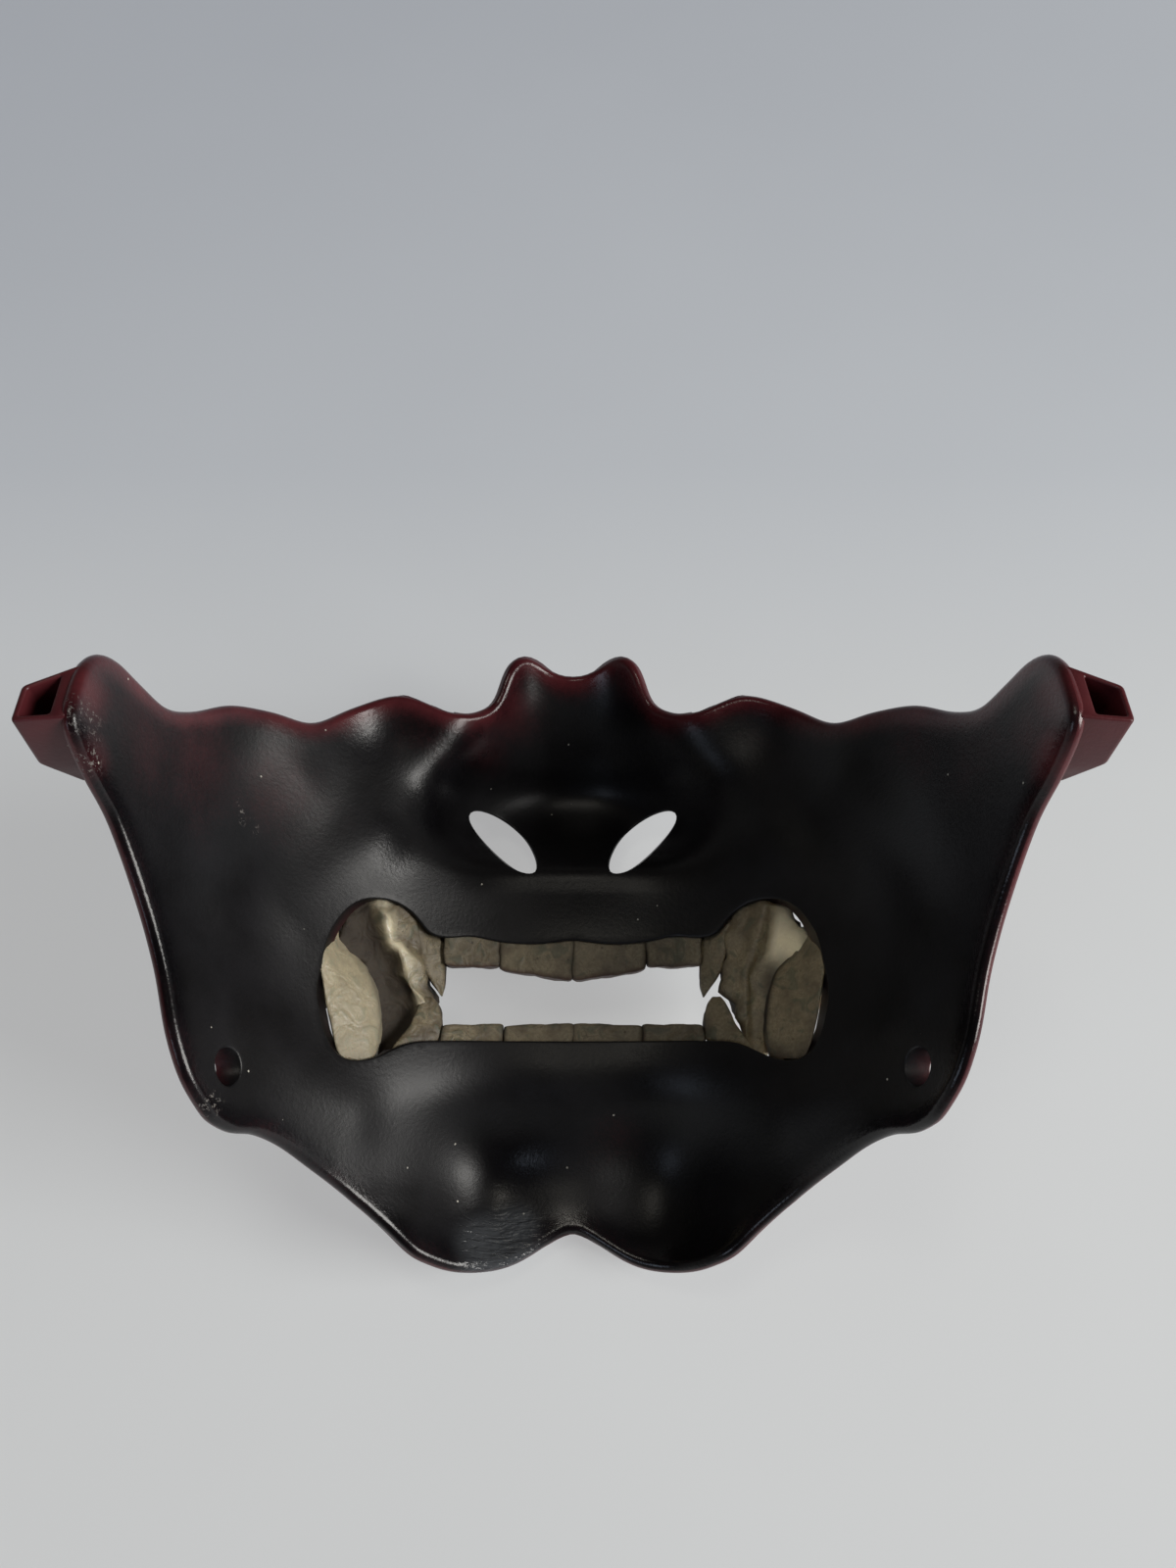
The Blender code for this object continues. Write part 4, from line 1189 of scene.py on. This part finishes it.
def tooth_forward(name, across, down):
    """How far in front of the inner skin the back of a tooth lies."""
    forward = TOOTH_RECESS + curve(TEETH[name][3], 3, down) * TOOTH_THICKNESS
    if name == "upper_tusk":
        crest = crest_line(down)
        fall = np.clip((across - crest) / 0.55, 0, 1)
        forward += FLANK * fall * (2 - fall) * (1 - 0.6 * down)
        forward -= RIDGE * bell((across - crest) / 0.10) * np.sin(math.pi * down) ** 0.5
    return forward


print("past its ridge an upper tusk falls away by up to", FLANK / MM, "mm")

# %% Lumps from the carving
LUMP, FINE_LUMP = 4 * MM, 1.6 * MM
FINE_SEED = 9


def bumpy(points, size, seed):
    """Smooth noise for points, with bumps of a size in metres."""
    return np.array([noise.noise(Vector(p / size) + Vector((seed, 0, 0))) for p in points])


def carved(points, name, number):
    """The points of a tooth with the unevenness of hand carving."""
    away = unit(points - points.mean(axis=0))
    lumps = 2.2 if name == "upper_tusk" else 0.4
    fine = 0.6 if name.endswith("tusk") else 0.2
    rough = (lumps * bumpy(points, LUMP, number)
             + fine * bumpy(points, FINE_LUMP, number + FINE_SEED))
    return points + away * (rough * MM)[:, None]


print("lumps are about", LUMP / MM, "and", FINE_LUMP / MM, "mm wide")

# %% One tooth
CUTS, TUSK_CUTS = 14, 22
SQUARE, ROUND = 0.22, 0.50
CROWN = 0.35


def make_tooth(name, side, number):
    """The mesh of one tooth, and for each corner its share across, its share down, its point."""
    tusk, pointed = name.endswith("tusk"), name in ("upper_fang", "lower_canine")
    block, places = rounded_block(TUSK_CUTS if tusk else CUTS, ROUND if tusk or pointed else SQUARE)
    across, through, down = places.T
    out, up = tooth_outline(name, side, across, down)
    forward = tooth_forward(name, across, down)
    within = np.minimum(out, corner_out(up) + 2 * ROOT_DEPTH)
    out = np.where(forward < 2 * WALL, within, out)
    thickness = curve(TEETH[name][3], 4, down) * TOOTH_THICKNESS
    crown = 1 - CROWN * (2 * across - 1) ** 2
    depth = skin_depth(out, up) + forward + through * thickness * crown
    points = carved(np.stack([out, depth, up], -1), name, number)
    points[:, 0] *= side
    for vertex, place in zip(block.verts, lie_down(points)):
        vertex.co = place
    if side < 0:
        bmesh.ops.reverse_faces(block, faces=block.faces)
    bmesh.ops.recalc_face_normals(block, faces=block.faces)
    mesh = bpy.data.meshes.new(name)
    block.to_mesh(mesh)
    block.free()
    mesh.shade_smooth()
    return mesh, across, down, points


print("a tusk has", 6 * (TUSK_CUTS + 1) ** 2, "faces and another tooth", 6 * (CUTS + 1) ** 2)

# %% [markdown]
# ## Painted shade, painted light and stain on the teeth
#
# Shade is painted at the root of each tooth, in the grooves between them and over the far side
# of each upper tusk, which falls away into shadow. Each tooth also gets its own share of painted
# shade, for the teeth that lie in shade, while the left lower tusk is painted paler, as lit. A
# highlight is painted along the left upper tusk's ridge, and a patch of light on the right
# upper tusk's flank.

# %% How much shade is painted on each tooth
# Left and right: how much shade is painted over the whole tooth, for teeth in shade. Below
# nothing, light is painted instead and the tooth is paler than the rest.
TOOTH_SHADE = {
    "upper_incisor": (0.28, 0.26), "upper_lateral": (0.40, 0.30), "upper_fang": (0.20, 0.34),
    "upper_tusk": (0.06, 0.20), "lower_incisor": (0.26, 0.26), "lower_lateral": (0.20, 0.26),
    "lower_canine": (0.12, 0.26), "lower_tusk": (-0.24, 0.18),
}
print("the palest tooth has a dullness of", min(min(pair) for pair in TOOTH_SHADE.values()))


# %% Painted shade, painted light and stain on a tooth
def wear_tooth(mesh, name, side, across, down, points):
    """Note painted shade, painted light and red stain on a tooth."""
    # Painted shade at the root and along both sides, in the grooves between teeth.
    edge = np.maximum(np.abs(2 * across - 1) ** 10, (1 - down) ** 10)
    shade_share = TOOTH_SHADE[name][side > 0]
    # Teeth with a share below nothing get painted light all over.
    painted_light = 0 * down - min(shade_share, 0)
    # Right upper tusk: a painted patch of light on its flank, and painted shade in the cleft below
    # it.
    if name == "upper_tusk" and side > 0:
        flank = np.clip((across - 0.48) / 0.12, 0, 1)
        painted_light = flank * bell((down - 0.27) / 0.14)
        edge = np.maximum(edge, flank * bell((down - 0.52) / 0.14))
    # Left upper tusk: a painted highlight along the ridge, broken up by noise, and painted shade
    # over the flank that falls away and near the tip.
    elif name == "upper_tusk":
        crest = crest_line(down)
        flank = np.clip((across - crest - 0.03) / 0.10, 0, 1)
        highlight_breakup = np.clip(0.5 + 1.2 * bumpy(points, 2.2 * MM, 40), 0, 1)
        painted_light = np.maximum(painted_light, highlight_breakup * bell((across - crest + 0.03) / 0.08)) * (1 - flank)
        edge = np.maximum(edge, np.maximum(flank, np.clip((down - 0.80) / 0.15, 0, 1)))
    # Painted shade over the whole tooth, except where light is painted.
    edge = np.maximum(edge, shade_share * (1 - painted_light))
    note(mesh, "painted_shade", np.clip(0.95 * edge, 0, 1))
    note(mesh, "painted_light", np.clip(painted_light, 0, 1))
    stained = name in ("upper_incisor", "upper_lateral")
    note(mesh, "stain", np.clip((down - 0.86) / 0.14, 0, 1) * (0.8 if stained else 0.0))


SIDES = ((-1, "left"), (1, "right"))
for number, name in enumerate(TEETH):
    for side, label in SIDES:
        node = name + "_" + label
        mesh, across, down, points = make_tooth(name, side, number * 2 + (side > 0))
        wear_tooth(mesh, name, side, across, down, points)
        add_piece("bone_" + node, mesh, node, bone_acrylic)
print("set", 2 * len(TEETH), "teeth and tusks")

# %% [markdown]
# ## The strap sockets
#
# A square socket stands on the outside of each ear tab, for the end of a strap. It is cast
# in one with the tab and shares its lacquer. It is made as a row of rounded rings: down the
# hole, round its mouth, over the end and forward along the outside, where it slopes back to
# the tab. A cube with a hole cut in it would have edges that no casting has.

# %% Where the sockets stand
TAB_CORNER = 0.86


def sheet_place(along, up):
    """Distance round and height of a place on the sheet's side edge."""
    low = float(curve(BOTTOM_EDGE, 1, along)) * FACE_HEIGHT
    high = float(curve(TOP_EDGE, 1, along)) * FACE_HEIGHT
    return np.array([along * float(curve(SIDE_EDGE, 1, up)) * HALF_ARC]), np.array(
        [low + up * (high - low)])


def socket_frame():
    """The socket's own axes: out from the tab, forward along it, and up."""
    rear = skin(*sheet_place(1.0, TAB_CORNER))[0]
    top = skin(*sheet_place(1.0, 1.0))[0]
    pitch = math.atan2(top[1] - rear[1], top[2] - rear[2])
    origin = Vector((0.0, (rear[1] + top[1]) / 2, (rear[2] + top[2]) / 2))
    return Matrix.Translation(origin) @ Matrix.Rotation(-pitch, 4, "X")


socket_at = socket_frame()
print("the sockets stand", round(-socket_at.translation.y / MM), "mm behind the mouth")

# %% A section of the socket
SOCKET_OUT = 7.6 * MM
SOCKET_TALL = 10.4 * MM
SOCKET_OUTER_TALL = 7.2 * MM
SOCKET_SAG = 2.4 * MM
CORNER_STEPS = 4


def socket_section(inner, outer, margin):
    """Corners of a section between two distances out from the tab."""
    found = []
    for out, over in ((inner, -1), (outer, -1), (outer, 1), (inner, 1)):
        share = out / SOCKET_OUT
        tall = SOCKET_TALL + share * (SOCKET_OUTER_TALL - SOCKET_TALL)
        found.append((out, over * (tall / 2 - margin) - share * SOCKET_SAG))
    return found


def rounded_quad(corners, radius):
    """A ring of points round four corners, each corner rounded."""
    ring = []
    corners = [np.array(c) for c in corners]
    for i in range(4):
        here, before, after = corners[i], corners[i - 1], corners[(i + 1) % 4]
        start = here + unit(before - here) * radius
        stop = here + unit(after - here) * radius
        for step in range(CORNER_STEPS + 1):
            t = step / CORNER_STEPS
            ring.append((1 - t) ** 2 * start + 2 * t * (1 - t) * here + t * t * stop)
    return np.array(ring)


print("each ring has", len(rounded_quad(socket_section(0, SOCKET_OUT, 0), MM)), "points")

# %% The rings of the socket
SOCKET_LONG = 18.5 * MM
SOCKET_STRAIGHT = 12.5 * MM
SOCKET_SLOPE = math.tan(math.radians(42))
SOCKET_RIM = 0.6 * MM
SOCKET_SIDE = 1.0 * MM
SOCKET_HOLE_DEEP = 11.0 * MM
HOLE_IN = 1.75 * MM
SUNK = -1.2 * MM
far = SOCKET_OUT - SOCKET_SIDE
slim = SOCKET_OUT - (SOCKET_LONG - SOCKET_STRAIGHT) * SOCKET_SLOPE
# Distance along, inner side, outer side and margin in metres, and the corners' radius in mm.
SOCKET_ROWS = [
    (SOCKET_HOLE_DEEP, HOLE_IN, far, SOCKET_SIDE, 0.5),
    (SOCKET_RIM + 0.4 * MM, HOLE_IN, far, SOCKET_SIDE, 0.5),
    (SOCKET_RIM + 0.1 * MM, HOLE_IN - 0.1 * MM, far + 0.1 * MM, 0.9 * MM, 0.6),
    (SOCKET_RIM, HOLE_IN - 0.35 * MM, far + 0.3 * MM, 0.7 * MM, 0.8),
    (SOCKET_RIM, SUNK + 0.3 * MM, SOCKET_OUT - 0.35 * MM, 0.35 * MM, 0.7),
    (SOCKET_RIM + 0.12 * MM, SUNK + 0.1 * MM, SOCKET_OUT - 0.1 * MM, 0.1 * MM, 0.8),
    (SOCKET_RIM + 0.45 * MM, SUNK, SOCKET_OUT, 0.0, 0.9),
    (SOCKET_STRAIGHT - 0.6 * MM, SUNK, SOCKET_OUT, 0.0, 0.9),
    (SOCKET_STRAIGHT, SUNK, SOCKET_OUT - 0.15 * MM, 0.0, 0.9),
    (SOCKET_STRAIGHT + 0.7 * MM, SUNK, SOCKET_OUT - 0.7 * MM, 0.0, 0.9),
    (SOCKET_LONG - 0.5 * MM, SUNK - 1.2 * MM, slim + 0.4 * MM, 0.0, 0.9),
    (SOCKET_LONG, SUNK - 1.2 * MM, slim - 0.3 * MM, 0.4 * MM, 0.9),
]
print("the socket is", round(SOCKET_LONG / MM, 1), "mm long, in", len(SOCKET_ROWS), "rings")

# %% One socket
SOCKET_CREASE = math.radians(50)


def make_socket(side):
    """The mesh of one strap socket."""
    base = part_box("strap_socket_right")[1].x - SOCKET_OUT
    work = bmesh.new()
    rings = []
    for along, inner, outer, margin, radius in SOCKET_ROWS:
        ring = []
        for out, up in rounded_quad(socket_section(inner, outer, margin), radius * MM):
            flat = socket_at @ Vector((0.0, along, up))
            point = np.array([[side * (base + out), flat.y, flat.z]])
            ring.append(work.verts.new(lie_down(point)[0]))
        rings.append(ring)
    for near, ahead in zip(rings, rings[1:]):
        for i in range(len(near)):
            j = (i + 1) % len(near)
            work.faces.new((near[i], near[j], ahead[j], ahead[i]))
    work.faces.new(rings[0])
    work.faces.new(rings[-1][::-1])
    bmesh.ops.recalc_face_normals(work, faces=work.faces)
    mesh = bpy.data.meshes.new("strap_socket")
    work.to_mesh(mesh)
    work.free()
    mesh.shade_smooth()
    mesh.set_sharp_from_angle(angle=SOCKET_CREASE)
    return mesh


print("edges sharper than", round(math.degrees(SOCKET_CREASE)), "degrees stay crisp")

# %% Both sockets
for side, label in SIDES:
    mesh = make_socket(side)
    for name, level in (("mist", 1.0), ("tool_marks_and_sheen", 0.0), ("chipped", 0.0), ("rubbed", 0.4)):
        note(mesh, name, np.full(len(mesh.vertices), level))
    node = "strap_socket_" + label
    add_piece("cast_" + node, mesh, node, resin_lacquer)
print("the sockets stand out", round(SOCKET_OUT / MM, 1), "mm")

# %% [markdown]
# ## The table: an opal acrylic sheet, faintly lit from below
#
# Such a sheet is milky plastic, cast between glass plates and sanded matte. It glows a little,
# so the openings of the mask look bright, as they would in front of a pale lit wall. It is
# cooler and darker far away. A plain white plane would leave the mouth grey from this side.

# %% The lit sheet
SHEET_CLOUD = 1 / 6  # metres across a faint cloud in the plastic
TABLE_GLOW = 0.41
GLOW_NEAR, GLOW_FAR = -0.12, 0.40
opal_acrylic, tree = new_material("matte_opal_acrylic_sheet")
here = add(tree, "TexCoord").outputs["Object"]
cloud = add(tree, "TexNoise", {"Vector": here, "Scale": 1 / SHEET_CLOUD, "Detail": 3})
tone = add(tree, "ValToRGB", [cloud], [(0.3, "#85898b"), (0.7, "#8c9092")])
along = add(tree, "SeparateXYZ", [here]).outputs["Y"]
away = add(tree, "MapRange", [along, GLOW_NEAR, GLOW_FAR], **SOFT)
glow = add(tree, "ValToRGB", [away], [
    (0.0, "#ffffff"), (0.25, "#f8f9fa"), (0.53, "#d8dce4"), (1.0, "#c8cdd8")])
sheet = add(tree, "BsdfPrincipled", {
    "Base Color": tone, "Roughness": 0.9, "Emission Color": glow,
    "Emission Strength": TABLE_GLOW})
add(tree, "OutputMaterial", {"Surface": sheet})
print("the sheet glows at", TABLE_GLOW)

# %% The table top
TABLE_HALF = 4.0
TABLE_DROP = 0.3 * MM
work = bmesh.new()
bmesh.ops.create_grid(work, x_segments=1, y_segments=1, size=TABLE_HALF)
table_mesh = bpy.data.meshes.new("table_top")
work.to_mesh(table_mesh)
work.free()
table_mesh.materials.append(opal_acrylic)
table = bpy.data.objects.new("table_top", table_mesh)
bpy.context.scene.collection.objects.link(table)
table.location.z = -TABLE_DROP
print("the table is", 2 * TABLE_HALF, "m wide and", TABLE_DROP / MM, "mm under the mask")

# %% [markdown]
# ## Light
#
# A large soft window stands low at the right, a bit towards the chin, and puts its highlights
# on the left side of the hollow. The ceiling and a cool fill from the left are weak, so the
# black stays black. One narrow lamp reaches the pale spot on the right tusk. The room has pale
# walls and a dark ceiling, which the lacquer mirrors.


# %% Lamps
def hang(data, place, target, watts, hex_code):
    """Put a lamp into the scene, turned towards a point."""
    data.energy, data.color = watts, paint(hex_code)[:3]
    lamp = bpy.data.objects.new(data.name, data)
    bpy.context.scene.collection.objects.link(lamp)
    lamp.location = place
    lamp.rotation_euler = (Vector(target) - Vector(place)).to_track_quat("-Z", "Y").to_euler()


# Name, place, target and width in metres, watts, colour.
SOFT_LAMPS = [
    ("window", (1.00, -0.20, 0.62), (0, 0, 0.04), 0.60, 15, "#f8f6f2"),
    ("ceiling", (-0.10, 0.22, 1.00), (0, 0, 0.04), 0.22, 1.0, "#fbf6ea"),
    ("cool_fill", (-0.60, -0.60, 0.70), (0, 0, 0.02), 0.35, 1.0, "#cfdcf0"),
]
for name, place, target, width, watts, hex_code in SOFT_LAMPS:
    lamp = bpy.data.lights.new(name, "AREA")
    lamp.shape, lamp.size = "SQUARE", width
    hang(lamp, place, target, watts, hex_code)
print("hung", len(SOFT_LAMPS), "soft lamps")

# %% The narrow lamp
GLINT_FROM, GLINT_AT = (0.00, 0.02, 0.50), (0.0474, -0.0075, 0.0290)
glint = bpy.data.lights.new("glint", "SPOT")
glint.spot_size, glint.spot_blend = math.radians(2.4), 1.0
glint.shadow_soft_size = 0.02
hang(glint, GLINT_FROM, GLINT_AT, 9.0, "#fff6e0")
reach = (Vector(GLINT_AT) - Vector(GLINT_FROM)).length
print("its spot is", round(reach * glint.spot_size / MM), "mm wide on the tusk")

# %% The room
world = bpy.data.worlds.new("studio")
bpy.context.scene.world = world
world.use_nodes = True
tree = world.node_tree
tree.nodes.clear()
sky = add(tree, "TexCoord").outputs["Generated"]
up = add(tree, "SeparateXYZ", [sky]).outputs["Z"]
room = add(tree, "ValToRGB", [up], [
    (0.0, "#b4b8ba"), (0.22, "#807f7c"), (0.50, "#322f2c"), (0.85, "#262321")])
walls = add(tree, "Background", {"Color": room, "Strength": 0.8})
add(tree, "OutputWorld", {"Surface": walls})
print("the room has", len(tree.nodes), "nodes")

# %% [markdown]
# ## The camera
#
# A phone's wide lens is held close, a little below the mask and square to the mouth's width.
# It is placed as if the mask were worn, and then lies down together with it, so it ends up
# above the table and looks down into the hollow.

# %% The camera behind the mask
CAMERA_PITCH = math.radians(15)
CAMERA_DISTANCE = 252.8 * MM
CAMERA_RISE = 220 / 1200 * CAMERA_DISTANCE
gaze = Vector((0, math.cos(CAMERA_PITCH), math.sin(CAMERA_PITCH)))
above = Vector((0, -math.sin(CAMERA_PITCH), math.cos(CAMERA_PITCH)))
eye = -CAMERA_DISTANCE * gaze + CAMERA_RISE * above
stand = Matrix(((1, above.x, -gaze.x, eye.x), (0, above.y, -gaze.y, eye.y),
                (0, above.z, -gaze.z, eye.z), (0, 0, 0, 1)))
lens = bpy.data.cameras.new("camera")
lens.sensor_width, lens.lens = 32, 24
lens.shift_x = 15.5 / 1600
lens.clip_start = 0.01
camera = bpy.data.objects.new("camera", lens)
bpy.context.scene.collection.objects.link(camera)
camera.matrix_world = (Matrix.Translation(Vector(LAY_SHIFT))
                       @ Matrix.Rotation(LAY_TURN, 4, "X") @ stand)
bpy.context.scene.camera = camera
bpy.context.scene.view_settings.view_transform = "Standard"
print("the camera looks down at", round(math.degrees(math.asin(
    -(camera.matrix_world.to_3x3() @ Vector((0, 0, -1))).z))), "degrees")

# %% [markdown]
# ## Finishing
#
# Last, the scene is brought up to date.

# %% Up to date
bpy.context.view_layer.update()
